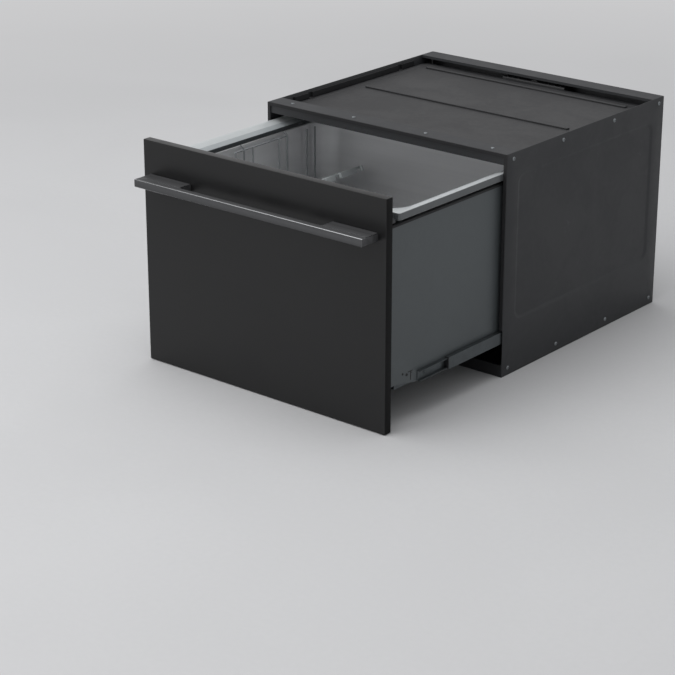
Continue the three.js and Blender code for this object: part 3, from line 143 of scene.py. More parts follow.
class DrawerColours(bpy.types.PropertyGroup):
    """Colours of the drawer's finishes."""

    lacquer_front: colour("Front lacquer", "Satin charcoal lacquer", (0.105, 0.105, 0.107))
    # The board's side edges are painted darker than its face: painted shade for the sides, which
    # take less light.
    lacquer_edge: colour("Board edge", "Darker side edges of the board", (0.075, 0.075, 0.077))
    handle_metal: colour("Handle", "Dark anodised aluminium", (0.34, 0.342, 0.348))
    handle_polish: colour("Handle chamfer", "Polished aluminium", (0.60, 0.603, 0.61))
    wrap_paint: colour("Side wraps", "Satin grey paint", (0.35, 0.37, 0.378))
    rim_plastic: colour("Rim top", "Light grey moulding", (0.73, 0.745, 0.75))
    # The rim is one light grey moulding; its outer face is painted darker grey as painted shade.
    rim_side: colour("Rim side", "Grey outer face of the rim", (0.40, 0.412, 0.42))
    # Painted shade: the rim's slope is the same moulding, painted a little darker where it tilts
    # from the light.
    rim_slope: colour("Rim slope", "Slightly darker slope of the rim", (0.635, 0.655, 0.665))
    # Painted shade: the lip is the same light grey moulding, painted dark grey for the shade on its
    # upright faces.
    rim_lip: colour("Rim lip", "Dark grey lip inside the rim", (0.23, 0.245, 0.255))
    stainless: colour("Stainless steel", "Brushed stainless steel", (0.90, 0.90, 0.905))
    zinc_steel: colour("Zinc plate", "Satin zinc plate", (0.58, 0.60, 0.61))
    runner_steel: colour("Runners", "Dark zinc plate of the runners", (0.38, 0.40, 0.41))
    shell_paint: colour("Chassis paint", "Dark grey powder coat", (0.17, 0.175, 0.185))
    black_plastic: colour("Black plastic", "Moulded black plastic", (0.11, 0.112, 0.12))
    grey_plastic: colour("Grey plastic", "Moulded light grey plastic", (0.70, 0.72, 0.725))
    dark_grey_plastic: colour("Dark plastic", "Moulded dark plastic", (0.21, 0.215, 0.225))
    white_plastic: colour("White plastic", "Moulded white plastic", (0.88, 0.89, 0.90))
    coated_wire: colour("Coated wire", "Nylon coat of the racks", (0.54, 0.555, 0.565))
    black_rubber: colour("Black rubber", "Matte black rubber", (0.12, 0.12, 0.13))
    grey_rubber: colour("Grey rubber", "Matte grey rubber", (0.42, 0.44, 0.45))
    felt: colour("Felt", "Needled insulating felt", (0.54, 0.51, 0.46))


class StageSettings(bpy.types.PropertyGroup):
    """Camera, lamps and floor."""

    camera_place: bpy.props.FloatVectorProperty(
        name="Camera", description="Place of the camera", size=3, unit="LENGTH",
        default=(2.547, -3.486, 1.612),
    )
    camera_turn: angle("Turn", "Turn of the camera round the upright axis", 39.68)
    camera_tilt: angle("Tilt", "How far the camera looks down", 21.36)
    lens: number("Lens", "Focal length in millimetres on a 36 mm sensor", 115.5)
    sky: number("Sky", "Strength of the room's light", 0.62)
    key: number("Key lamp", "Power of the top lamp", 70)
    fill: number("Fill lamp", "Power of the side lamp", 30)
    floor: colour("Floor", "Pale floor", (0.80, 0.80, 0.805))


# ---------------------------------------------------------------- surfaces


def outward(points, faces, caps):
    """Turns a closed surface to face out. Its volume is the sum over its faces of the first
    corner dotted with the cross products of the next ones, and a negative one means inside out."""
    first, second, third, fourth = (points[faces[:, i]] for i in range(4))
    volume = np.einsum("ij,ij->", first, np.cross(second, third) + np.cross(third, fourth))
    for cap in caps:
        ring = points[cap]
        volume += np.cross(ring[1:-1], ring[2:]).dot(ring[0]).sum()
    if volume < 0:
        faces = faces[:, ::-1]
        caps = [cap[::-1] for cap in caps]
    return points, faces.tolist() + [cap.tolist() for cap in caps]


def skin(loops, ring=False):
    """A surface over equal loops of points, an array of loop by point by axis. Point i of a loop
    is joined to point i + 1 and to the same points of the next loop. The end loops are closed
    by flat caps, or with ring the last loop is joined to the first."""
    loops = np.asarray(loops, float)
    count, size = loops.shape[:2]
    index = np.arange(count * size).reshape(count, size)
    low = index if ring else index[:-1]
    high = np.roll(index, -1, 0) if ring else index[1:]
    quads = np.stack([low, np.roll(low, -1, 1), np.roll(high, -1, 1), high], -1)
    caps = [] if ring else [index[0, ::-1], index[-1]]
    return outward(loops.reshape(-1, 3), quads.reshape(-1, 4), caps)


def unit(vectors):
    """Vectors brought to a length of one."""
    return vectors / np.linalg.norm(vectors, axis=1, keepdims=True)


def rounded(points, reach, steps=6, closed=False):
    """A line with its corners rounded. Each corner becomes the quadratic curve that starts at
    reach before it and ends at reach after it, with the corner as its control point."""
    points = np.asarray(points, float)
    corners = points if closed else points[1:-1]
    before = np.roll(points, 1, 0) if closed else points[:-2]
    after = np.roll(points, -1, 0) if closed else points[2:]
    reach = np.broadcast_to(reach, len(corners))[:, None]
    t = np.linspace(0, 1, steps + 1)[None, :, None]
    start = (corners + unit(before - corners) * reach)[:, None]
    end = (corners + unit(after - corners) * reach)[:, None]
    curve = (1 - t) ** 2 * start + 2 * t * (1 - t) * corners[:, None] + t**2 * end
    curve = curve.reshape(-1, points.shape[1])
    return curve if closed else np.concatenate([points[:1], curve, points[-1:]])


def round_loop(half_x, half_y, radius, z, centre=(0, 0), steps=12):
    """Level rectangles with round corners. Each corner is a quarter circle about a point that
    stands its radius inside both sides. All sizes may be arrays, and radius may end in an axis
    of four, for the corners at +x+y, -x+y, -x-y and +x-y."""
    turn = (np.arange(4)[:, None] + np.linspace(0, 1, steps + 1)) * np.pi / 2
    sign_x = np.array([1, -1, -1, 1])[:, None]
    sign_y = np.array([1, 1, -1, -1])[:, None]
    half_x, half_y, z, centre_x, centre_y = (
        np.asarray(value, float)[..., None, None] for value in (half_x, half_y, z, *centre[:2])
    )
    radius = np.asarray(radius, float)
    radius = radius[..., :, None] if radius.shape[-1:] == (4,) else radius[..., None, None]
    x = centre_x + sign_x * (half_x - radius) + radius * np.cos(turn)
    y = centre_y + sign_y * (half_y - radius) + radius * np.sin(turn)
    x, y, z = np.broadcast_arrays(x, y, z)
    return np.stack([x, y, z], -1).reshape(x.shape[:-2] + (-1, 3))


def bead(half, centre, section, corner, steps, narrowing=1.0):
    """A closed section carried round a rectangle. The section holds the distance inward and the
    height, and the corner's radius shrinks by the narrowing times the distance inward."""
    inward, height = section.T
    return round_loop(half[0] - inward, half[1] - inward, corner - inward * narrowing, height,
                      centre, steps)


def tube(path, radius, sides=10, up=(0, 0, 1), closed=False):
    """A round bar. At each point of the path a circle stands square to the path's direction,
    spanned by the direction crossed with up and by that crossed with the direction. An open bar
    ends in two half balls, drawn as circles that shrink with the cosine."""
    path = np.asarray(path, float)
    if closed:
        along = np.roll(path, -1, 0) - np.roll(path, 1, 0)
    else:
        along = np.gradient(path, axis=0)
    along = unit(along)
    radius = np.broadcast_to(np.asarray(radius, float), len(path)).copy()
    if not closed:
        turn = np.radians([84, 60, 35, 12])
        short, narrow = (1 - np.sin(turn))[:, None], np.cos(turn)
        head = path[0] + along[0] * radius[0] * short
        tail = path[-1] - along[-1] * radius[-1] * short[::-1]
        path = np.concatenate([head, path[1:-1], tail])
        ends = np.repeat(along[[0, -1]], 4, 0)
        along = np.concatenate([ends[:4], along[1:-1], ends[4:]])
        radius = np.concatenate([radius[0] * narrow, radius[1:-1], radius[-1] * narrow[::-1]])
    across = unit(np.cross(along, np.asarray(up, float)))
    over = np.cross(across, along)
    turn = np.linspace(0, 2 * np.pi, sides, endpoint=False)[None, :, None]
    ring = np.cos(turn) * across[:, None] + np.sin(turn) * over[:, None]
    return skin(path[:, None] + ring * radius[:, None, None], ring=closed)


def inset(outline, depth):
    """A closed counterclockwise outline moved inward by each of some depths, along the bisectors
    of its corners, so that every side moves square to itself by that depth."""
    before = unit(outline - np.roll(outline, 1, 0))
    after = unit(np.roll(outline, -1, 0) - outline)
    first = np.stack([-before[:, 1], before[:, 0]], 1)
    second = np.stack([-after[:, 1], after[:, 0]], 1)
    shift = (first + second) / (1 + (first * second).sum(1, keepdims=True))
    return outline[None] + np.asarray(depth)[:, None, None] * shift[None]


def eased(radius, steps):
    """A quarter circle from the side of an edge to its top: the radius less its sine, and the
    radius less its cosine."""
    turn = np.linspace(0, np.pi / 2, steps)
    return radius * (1 - np.sin(turn)), radius * (1 - np.cos(turn))


def arc(centre, outer, inner, start, stop):
    """The outline of an open band between two radii, from one angle in degrees to another."""
    turn = np.radians(np.linspace(start, stop, 15))
    line = np.stack([np.cos(turn), np.sin(turn)], 1)
    return np.concatenate([line * outer, (line * inner)[::-1]]) + centre


def hexagon(x, z, radius):
    """A hexagon's outline round a centre."""
    turn = np.radians(np.arange(0, 360, 60))
    return np.stack([x + radius * np.cos(turn), z + radius * np.sin(turn)], 1)


def drawn(outline, low, high, ease=0.0005, axis="z", steps=3):
    """An outline carried along an axis, with eased edges at both ends: near an end the outline
    is moved inward by the ease less its sine while it travels the ease less its cosine. Along z
    the outline is x and y, along y it is x and z, and along x it is y and z."""
    depth, level = eased(ease, steps + 1)
    level = np.concatenate([low + level, high - level[::-1]])
    loops = inset(np.asarray(outline, float), np.concatenate([depth, depth[::-1]]))
    height = np.broadcast_to(level[:, None, None], loops.shape[:2] + (1,))
    return skin(np.concatenate([loops, height], -1)[..., np.argsort(PLANES[axis])])


def block(low, high, radius=0.001, ease=0.0005, axis="z", steps=3):
    """A rectangular bar along an axis, with round edges along it and eased edges at its ends."""
    low, high = (np.asarray(corner, float)[PLANES[axis]] for corner in (low, high))
    half, centre = (high - low) / 2, (low + high) / 2
    outline = round_loop(half[0], half[1], radius, 0, centre, steps)[:, :2]
    return drawn(outline, low[2], high[2], ease, axis, steps)


def turned(profile, centre, axis="z", sides=32, ring=False):
    """A profile of radius and height, turned round an axis through the centre. With ring the
    profile is closed, as a washer's is."""
    profile = np.asarray(profile, float)
    turn = np.linspace(0, 2 * np.pi, sides, endpoint=False)
    radius, height = profile[:, 0, None], profile[:, 1, None]
    level = np.broadcast_to(height, (len(profile), sides))
    loops = np.stack([radius * np.cos(turn), radius * np.sin(turn), level], -1)
    return skin(loops[..., np.argsort(PLANES[axis])] + np.asarray(centre, float), ring)


def joined(shapes):
    """Several surfaces as one mesh's points and faces."""
    points, faces, start = [], [], 0
    for shape_points, shape_faces in shapes:
        points.append(shape_points)
        faces.extend([[corner + start for corner in face] for face in shape_faces])
        start += len(shape_points)
    return np.concatenate(points), faces


def tilted(shape, turn, pivot):
    """A shape turned round the y axis through a pivot, from +x towards +z."""
    points, faces = shape
    pivot = np.asarray(pivot, float)
    x, y, z = (points - pivot).T
    cos, sin = math.cos(turn), math.sin(turn)
    return np.stack([x * cos - z * sin, y, x * sin + z * cos], 1) + pivot, faces


def mirrored(shape, side):
    """A shape drawn on the right, or its mirror image on the left with its faces turned back."""
    if side > 0:
        return shape
    points, faces = shape
    return points * np.array([-1, 1, 1]), [face[::-1] for face in faces]


def face_values(piece, kind):
    """The center or the normal of every face, as an array."""
    values = np.empty(len(piece.data.polygons) * 3)
    piece.data.polygons.foreach_get(kind, values)
    return values.reshape(-1, 3)


def add_piece(name, shape, body, slot, *replaced, finish=None, smooth=35, rides=True):
    """Makes a piece of a shape, gives it its finish and lets it ride on a body."""
    points, faces = shape
    mesh = bpy.data.meshes.new(name)
    mesh.from_pydata(points, [], faces)
    mesh.validate()
    mesh.set_sharp_from_angle(angle=math.radians(smooth))
    corners = np.empty(len(mesh.polygons), np.int32)
    mesh.polygons.foreach_get("loop_total", corners)
    mesh.polygons.foreach_set("use_smooth", corners <= 4)
    mesh.materials.append(finish_of(finish or slot))
    piece = bpy.data.objects.new(name, mesh)
    bpy.context.scene.collection.objects.link(piece)
    if rides:
        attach(piece, body)
    if replaced:
        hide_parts(*replaced)
    return piece


def paint(piece, finish, chosen):
    """Gives the chosen faces, a mask over the piece's faces, another finish."""
    piece.data.materials.append(finish_of(finish))
    index = np.zeros(len(piece.data.polygons), np.int32)
    piece.data.polygons.foreach_get("material_index", index)
    index[chosen] = len(piece.data.materials) - 1
    piece.data.polygons.foreach_set("material_index", index)


def screw_head(centre, axis, radius):
    """A pan head with a hexagonal socket, facing along the axis. Its profile rises with a sine
    from the rim to the crown, and then drops into the socket."""
    rise = np.linspace(0, np.pi / 2, 5)
    height = radius * 0.42
    crown = np.stack([radius - radius * 0.5 * (1 - np.cos(rise)), height * np.sin(rise)], 1)
    socket = [[radius * 0.42, height], [radius * 0.40, height * 0.3]]
    return turned([[radius, -0.0002], *crown, *socket], centre, axis, 18)


# ---------------------------------------------------------------- finishes


def linear(seen):
    """A seen colour as light: the usual curve of screens, undone."""
    seen = np.asarray(seen, float)
    light = np.where(seen <= 0.04045, seen / 12.92, ((seen + 0.055) / 1.055) ** 2.4)
    return tuple(light) + (1.0,)


def new_group(name, inputs, outputs):
    """An empty shader group with float sockets, and a vector socket for the place."""
    group = bpy.data.node_groups.new(name, "ShaderNodeTree")
    group.interface.new_socket("Place", in_out="INPUT", socket_type="NodeSocketVector")
    for title, value in inputs.items():
        socket = group.interface.new_socket(title, in_out="INPUT", socket_type="NodeSocketFloat")
        socket.default_value = value
    for title in outputs:
        group.interface.new_socket(title, in_out="OUTPUT", socket_type="NodeSocketFloat")
    enter = group.nodes.new("NodeGroupInput").outputs
    return group, enter, group.nodes.new("NodeGroupOutput").inputs


def feed(tree, value, socket):
    """Links another node's output to a socket, or gives the socket a constant."""
    if isinstance(value, bpy.types.NodeSocket):
        tree.links.new(value, socket)
    else:
        socket.default_value = value


def noise(tree, place, scale, detail=2.0, roughness=0.5, distortion=0.0):
    """A noise texture at a place."""
    node = tree.nodes.new("ShaderNodeTexNoise")
    for title, value in (("Vector", place), ("Scale", scale), ("Detail", detail),
                         ("Roughness", roughness), ("Distortion", distortion)):
        feed(tree, value, node.inputs[title])
    return node.outputs["Fac"]


def mapped(tree, value, start=(0, 1), end=(0, 1), kind="LINEAR"):
    """A value carried from one range to another."""
    node = tree.nodes.new("ShaderNodeMapRange")
    node.interpolation_type = kind
    for title, edge in zip(("From Min", "From Max", "To Min", "To Max"), (*start, *end)):
        node.inputs[title].default_value = edge
    tree.links.new(value, node.inputs["Value"])
    return node.outputs["Result"]


def ramp(tree, value, low, high):
    """A value stretched smoothly from its low and high to 0 and 1."""
    return mapped(tree, value, (low, high), kind="SMOOTHSTEP")


def worked(tree, operation, first, second):
    """Two values, or a value and a number, put together."""
    node = tree.nodes.new("ShaderNodeMath")
    node.operation = operation
    feed(tree, first, node.inputs[0])
    feed(tree, second, node.inputs[1])
    return node.outputs[0]


def mixed(tree, mask, first, second):
    """Two colours, or two inputs, mixed by a mask."""
    node = tree.nodes.new("ShaderNodeMix")
    node.data_type = "RGBA"
    tree.links.new(mask, node.inputs["Factor"])
    feed(tree, first, node.inputs[6])
    feed(tree, second, node.inputs[7])
    return node.outputs[2]


def shared(tree, first, second, share):
    """Two heights added, the first with a share and the second with the rest."""
    return worked(tree, "ADD", worked(tree, "MULTIPLY", first, share),
                  worked(tree, "MULTIPLY", second, 1 - share))


def smudge_group():
    """Handling marks and uneven drying: wide soft clouds, broken up by a finer cloud."""
    tree, enter, leave = new_group("Smudges", {"Scale": 9.0}, ["Mask"])
    wide = noise(tree, enter["Place"], enter["Scale"], 4.0, 0.55, 0.6)
    fine = noise(tree, enter["Place"], 85.0)
    tree.links.new(ramp(tree, shared(tree, wide, fine, 0.75), 0.36, 0.64), leave["Mask"])
    return tree


def grain_group():
    """Fine grain of mouldings, paint and rubber: small noise for height and dark pores."""
    tree, enter, leave = new_group("Fine grain", {"Scale": 1400.0}, ["Height", "Pores"])
    fine = noise(tree, enter["Place"], enter["Scale"], 3.0, 0.6)
    tree.links.new(fine, leave["Height"])
    tree.links.new(ramp(tree, fine, 0.25, 0.5), leave["Pores"])
    return tree


def brushed_group():
    """Brushed lines: noise on a place that is stretched along the brush, in two widths."""
    tree, enter, leave = new_group("Brushed lines", {"Fineness": 1.0}, ["Lines", "Streaks"])
    tree.links.new(noise(tree, enter["Place"], enter["Fineness"], 5.0, 0.7), leave["Lines"])
    tree.links.new(ramp(tree, noise(tree, enter["Place"], 0.12), 0.3, 0.7), leave["Streaks"])
    return tree


def rubbed_group():
    """Rubbed places: scattered spots where a coat is thinner, from two crossing noises."""
    tree, enter, leave = new_group("Rubbed spots", {"Scale": 55.0}, ["Mask"])
    first = noise(tree, enter["Place"], enter["Scale"], 4.0, 0.7, 1.2)
    second = noise(tree, enter["Place"], 14.0)
    both = worked(tree, "MULTIPLY", ramp(tree, first, 0.55, 0.75), ramp(tree, second, 0.5, 0.7))
    tree.links.new(both, leave["Mask"])
    return tree


def felt_group():
    """Needled felt: matted fibres from two stretched noises that cross."""
    tree, enter, leave = new_group("Felt fibres", {"Scale": 900.0}, ["Height", "Fibres"])
    one = noise(tree, enter["Place"], enter["Scale"], 5.0, 0.75, 2.5)
    two = noise(tree, enter["Place"], 260.0, 3.0, 0.6, 4.0)
    both = shared(tree, one, two, 0.5)
    tree.links.new(both, leave["Height"])
    tree.links.new(ramp(tree, both, 0.35, 0.65), leave["Fibres"])
    return tree


def sieve_group():
    """A sieve: round holes on a square pitch. The place is folded into one cell, and a hole is
    where the distance to the cell's middle is under a quarter of the pitch."""
    tree, enter, leave = new_group("Sieve holes", {"Pitch": 0.003}, ["Holes"])
    split = tree.nodes.new("ShaderNodeSeparateXYZ")
    tree.links.new(enter["Place"], split.inputs[0])
    squares = []
    for axis in ("X", "Y"):
        cell = worked(tree, "DIVIDE", split.outputs[axis], enter["Pitch"])
        middle = worked(tree, "SUBTRACT", worked(tree, "FRACT", cell, 0.0), 0.5)
        squares.append(worked(tree, "MULTIPLY", middle, middle))
    distance = worked(tree, "ADD", *squares)
    tree.links.new(worked(tree, "LESS_THAN", distance, 0.06), leave["Holes"])
    return tree


GROUPS = {
    "smudge": smudge_group, "grain": grain_group, "brushed": brushed_group,
    "rubbed": rubbed_group, "felt": felt_group, "sieve": sieve_group,
}


def group_node(tree, kind, place, **values):
    """The outputs of a shared group in a material, with this material's own values."""
    node = tree.nodes.new("ShaderNodeGroup")
    if kind not in GROUPS_MADE:
        GROUPS_MADE[kind] = GROUPS[kind]()
    node.node_tree = GROUPS_MADE[kind]
    for title, value in {"Place": place, **values}.items():
        feed(tree, value, node.inputs[title])
    return node.outputs


def build_finish(name, seen, rough, metallic=0.0, shade=0.86, grain=None, brush=None,
                 rubbed=0.0, felt=None, sieve=None, coat=0.0, coat_rough=0.1, sheen=0.0,
                 smudge=9.0, specular=0.5):
    """A finish. Smudges shift its colour and roughness, and grain, brushed lines or fibres
    give its height and break its colour up."""
    material = bpy.data.materials.new(name)
    material.use_nodes = True
    tree = material.node_tree
    shader = tree.nodes["Principled BSDF"].inputs
    place = tree.nodes.new("ShaderNodeTexCoord").outputs["Object"]
    seen = np.asarray(seen)
    base, dark = linear(seen), linear(seen * shade)
    mask = group_node(tree, "smudge", place, Scale=smudge)["Mask"]
    tone = mixed(tree, mask, dark, base)
    gloss = mapped(tree, mask, end=rough)
    height, depth = None, 0.0
    if grain:
        node = group_node(tree, "grain", place, Scale=grain[0])
        tone = mixed(tree, node["Pores"], dark, tone)
        height, depth = node["Height"], grain[1]
    if brush:
        stretch = tree.nodes.new("ShaderNodeMapping")
        stretch.inputs["Scale"].default_value = brush[0]
        tree.links.new(place, stretch.inputs["Vector"])
        node = group_node(tree, "brushed", stretch.outputs["Vector"])
        tone = mixed(tree, node["Lines"], linear(seen * (2 * shade - 1)), tone)
        tone = mixed(tree, node["Streaks"], tone, base)
        gloss = worked(tree, "ADD", gloss, mapped(tree, node["Lines"], end=(-0.09, 0.09)))
        height, depth = node["Lines"], brush[1]
    if felt:
        node = group_node(tree, "felt", place, Scale=felt[0])
        tone = mixed(tree, node["Fibres"], linear(seen * 0.6), tone)
        height, depth = node["Height"], felt[1]
    if rubbed:
        mask = group_node(tree, "rubbed", place)["Mask"]
        tone = mixed(tree, mask, tone, linear(np.minimum(seen + rubbed, 1)))
        gloss = worked(tree, "ADD", gloss, mapped(tree, mask, end=(0.0, 0.12)))
    if sieve:
        holes = group_node(tree, "sieve", place, Pitch=sieve)["Holes"]
        # The holes are painted near-black and not metallic: painted shade standing in for the open
        # holes.
        tone = mixed(tree, holes, tone, linear((0.06, 0.06, 0.065)))
        metallic = mapped(tree, holes, end=(metallic, 0.0))
    for title, value in (("Base Color", tone), ("Roughness", gloss), ("Metallic", metallic),
                         ("Coat Weight", coat), ("Coat Roughness", coat_rough),
                         ("Sheen Weight", sheen), ("Specular IOR Level", specular)):
        feed(tree, value, shader[title])
    if height:
        bump = tree.nodes.new("ShaderNodeBump")
        bump.inputs["Strength"].default_value = 0.35
        bump.inputs["Distance"].default_value = depth
        tree.links.new(height, bump.inputs["Height"])
        tree.links.new(bump.outputs["Normal"], shader["Normal"])
    return material


RIM = dict(rough=(0.34, 0.46), shade=0.96, grain=(1300, 0.00003), coat=0.1, coat_rough=0.3)
STEEL = dict(metallic=0.74, shade=0.98, smudge=4.0)
ZINC = dict(grain=(240, 0.00004), smudge=26.0)
LACQUER = dict(shade=0.94, grain=(420, 0.0001))
RECIPES = {
    "lacquer_front": dict(LACQUER, rough=(0.30, 0.38), specular=0.33),
    # Painted shade: the board's side edges as a darker, duller copy of the front lacquer.
    "lacquer_edge": dict(LACQUER, rough=(0.50, 0.60), specular=0.12),
    "handle_metal": dict(rough=(0.52, 0.60), metallic=0.6, brush=((6, 700, 700), 0.00003)),
    "handle_polish": dict(rough=(0.20, 0.28), metallic=1.0, shade=0.92,
                          brush=((8, 500, 500), 0.00001)),
    "wrap_paint": dict(rough=(0.38, 0.48), metallic=0.35, shade=0.93, grain=(900, 0.00005),
                       smudge=5.0),
    "rim_plastic": RIM,
    # Painted shade: the slope keeps the moulding's recipe with a darker colour.
    "rim_slope": RIM,
    # Painted shade: the rim's outer face as a darker copy of the rim moulding.
    "rim_side": dict(rough=(0.36, 0.46), shade=0.94, grain=(1300, 0.00003), metallic=0.3),
    # Painted shade for the rim's lip.
    "rim_lip": dict(rough=(0.42, 0.52), shade=0.92, grain=(1300, 0.00003)),
    "stainless": dict(STEEL, rough=(0.36, 0.43), brush=((7, 7, 520), 0.000012)),
    "stainless_flat": dict(STEEL, rough=(0.46, 0.54), brush=((420, 7, 7), 0.000012)),
    "sieve": dict(rough=(0.30, 0.38), metallic=1.0, shade=0.97, brush=((420, 7, 7), 0.00001),
                  sieve=0.0028),
    "zinc_steel": dict(ZINC, rough=(0.36, 0.52), metallic=0.9),
    "runner_steel": dict(ZINC, rough=(0.38, 0.50), metallic=0.85, shade=0.88),
    "shell_paint": dict(rough=(0.52, 0.62), shade=0.94, grain=(700, 0.00012), rubbed=0.08),
    "black_plastic": dict(rough=(0.46, 0.54), shade=0.94, grain=(1100, 0.00008)),
    "grey_plastic": dict(rough=(0.40, 0.52), shade=0.95, grain=(1200, 0.00005)),
    "dark_grey_plastic": dict(rough=(0.40, 0.54), shade=0.9, grain=(1200, 0.00006)),
    "white_plastic": dict(rough=(0.32, 0.44), shade=0.96, grain=(1200, 0.00004), coat=0.15,
                          coat_rough=0.25),
    "coated_wire": dict(rough=(0.30, 0.42), shade=0.93, grain=(800, 0.00005), coat=0.2,
                        coat_rough=0.25),
    "black_rubber": dict(rough=(0.66, 0.80), shade=0.8, grain=(1500, 0.00008)),
    "grey_rubber": dict(rough=(0.62, 0.78), shade=0.88, grain=(1500, 0.00008), rubbed=0.06),
    "felt": dict(rough=(0.90, 1.0), shade=0.8, felt=(900, 0.0006), sheen=0.3),
}
SHARED_COLOUR = {"stainless_flat": "stainless", "sieve": "stainless"}


def finish_of(name):
    """The finish of a name, made once with the colour of the scene's settings."""
    if name not in FINISHES:
        seen = tuple(getattr(bpy.context.scene.drawer_colours, SHARED_COLOUR.get(name, name)))
        FINISHES[name] = build_finish(name, seen, **RECIPES[name])
    return FINISHES[name]


def dress(*nodes, finish=None):
    """Gives frame nodes that stay in view their finish."""
    for node in nodes:
        obj = NODES[node]
        material = finish_of(finish or SLOT_OF[node])
        if not obj.material_slots:
            obj.data.materials.append(material)
        for slot in obj.material_slots:
            slot.material = material


# ---------------------------------------------------------------- the drawer's front


class DRAWER_OT_front_board(bpy.types.Operator):
    """Front board: a lacquered slab with eased edges on all sides"""

    bl_idname = "drawer.front_board"
    bl_label = "Front Board"

    def execute(self, context):
        edge = context.scene.drawer_sizes.board_edge
        low, high = span("front_panel")[:2]
        shape = block(low, high, edge, edge, "y", 4)
        piece = add_piece("front_board", shape, "drawer", "lacquer_front", "front_panel")
        # Painted shade: the faces that point to either side get the darker copy of the lacquer.
        paint(piece, "lacquer_edge", np.abs(face_values(piece, "normal")[:, 0]) > 0.9)
        return {"FINISHED"}


def handle_outline(low, high, gap, inside):
    """The handle in plan: a bar whose two end blocks reach back to the board, with a round
    inner corner where each block leaves the bar."""
    back, front, fillet = high[1], low[1], 0.005
    curve = rounded([[gap, back], [gap, inside], [-gap, inside], [-gap, back]], fillet, 8)
    corners = [[low[0], back], [low[0], front], [high[0], front], [high[0], back]]
    return np.concatenate([corners, curve])


class DRAWER_OT_handle(bpy.types.Operator):
    """Handle: a square bar with polished chamfers, and two blocks that carry it"""

    bl_idname = "drawer.handle"
    bl_label = "Handle"

    def execute(self, context):
        sizes = context.scene.drawer_sizes
        low, high = span("handle")[:2]
        edge, gap, y = sizes.handle_edge, high[0] - sizes.handle_block, low[1] + sizes.handle_bar
        shape = drawn(handle_outline(low, high, gap, y), low[2], high[2], edge, "z", 1)
        piece = add_piece("handle_bar", shape, "drawer", "handle_metal", "handle", smooth=25)
        slope = np.abs(face_values(piece, "normal")[:, 2])
        at_front = face_values(piece, "center")[:, 1] < low[1] + 0.04
        paint(piece, "handle_polish", (slope > 0.3) & (slope < 0.95) & at_front)
        seam = block((gap + 0.0004, y - 0.0003, high[2] - 0.0002),
                     (high[0] - edge, y + 0.0003, high[2] + 0.00004), 0.0001, 0.00005, "x", 1)
        add_piece("handle_seams", joined([mirrored(seam, side) for side, _ in SIDES]), "drawer",
                  "handle_metal", finish="handle_polish")
        return {"FINISHED"}


class DRAWER_OT_side_wraps(bpy.types.Operator):
    """Side wraps: folded sheets whose lower front corner rises in a soft sweep, with the
    adjuster screws and slot low at the front"""

    bl_idname = "drawer.side_wraps"
    bl_label = "Side Wraps"

    def execute(self, context):
        low, high = span("side_wrap_right")[:2]
        front, rear, face = low[1], high[1], high[0]
        sheet, sweep_end, sweep_run, sweep_rise = 0.0008, front + 0.102, 0.085, 0.012
        t = np.linspace(0, 1, 25)
        sweep = np.stack([sweep_end - sweep_run * t,
                          low[2] + sweep_rise * t * t * (3 - 2 * t)], 1)[::-1]
        outline = np.concatenate([[[front, low[2] + sweep_rise]], sweep, [[rear, low[2]]],
                                  [[rear, high[2]]], [[front, high[2]]]])
        web = drawn(outline, face - sheet, face, 0.00025, "x", 2)
        top = block((low[0], front, high[2] - sheet), high, 0.0003, 0.0002, "y", 2)
        foot = block((face - 0.0057, sweep_end, low[2]), (face, rear, low[2] + sheet),
                     0.0003, 0.0002, "y", 2)
        screws = [screw_head((face, front + 0.0498, 0.0973), "x", 0.0024),
                  screw_head((face, front + 0.0617, 0.0926), "x", 0.0030)]
        slot = [block((face - 0.0003, front + start, bottom), (face + 0.0004, front + stop, high_z),
                      0.0004, 0.0001, "x", 2)
                for start, stop, bottom, high_z in ((0.0655, 0.0795, 0.0957, 0.0977),
                                                    (0.0726, 0.0748, 0.0789, 0.0960),
                                                    (0.0752, 0.0787, 0.0924, 0.0936))]
        # A black strip along the top of each wrap: painted shadow where the rim's edge shades the
        # wrap.
        trim = block((face - 0.012, front + 0.0006, high[2] - 0.0045),
                     (face + 0.0002, rear, high[2] + 0.0002), 0.0006, 0.0004, "y", 3)
        for side, name in SIDES:
            add_piece(f"wrap_{name}", mirrored(joined([web, top, foot]), side), "drawer",
                      "wrap_paint", f"side_wrap_{name}")
            add_piece(f"adjuster_screws_{name}", mirrored(joined(screws), side), "drawer",
                      "zinc_steel", finish="black_plastic")
            add_piece(f"adjuster_slot_{name}", mirrored(joined(slot), side), "drawer",
                      "black_plastic")
            # The strip is painted shadow under the rim, given the black rubber finish.
            add_piece(f"wrap_trim_{name}", mirrored(trim, side), "drawer", "black_rubber")
        return {"FINISHED"}


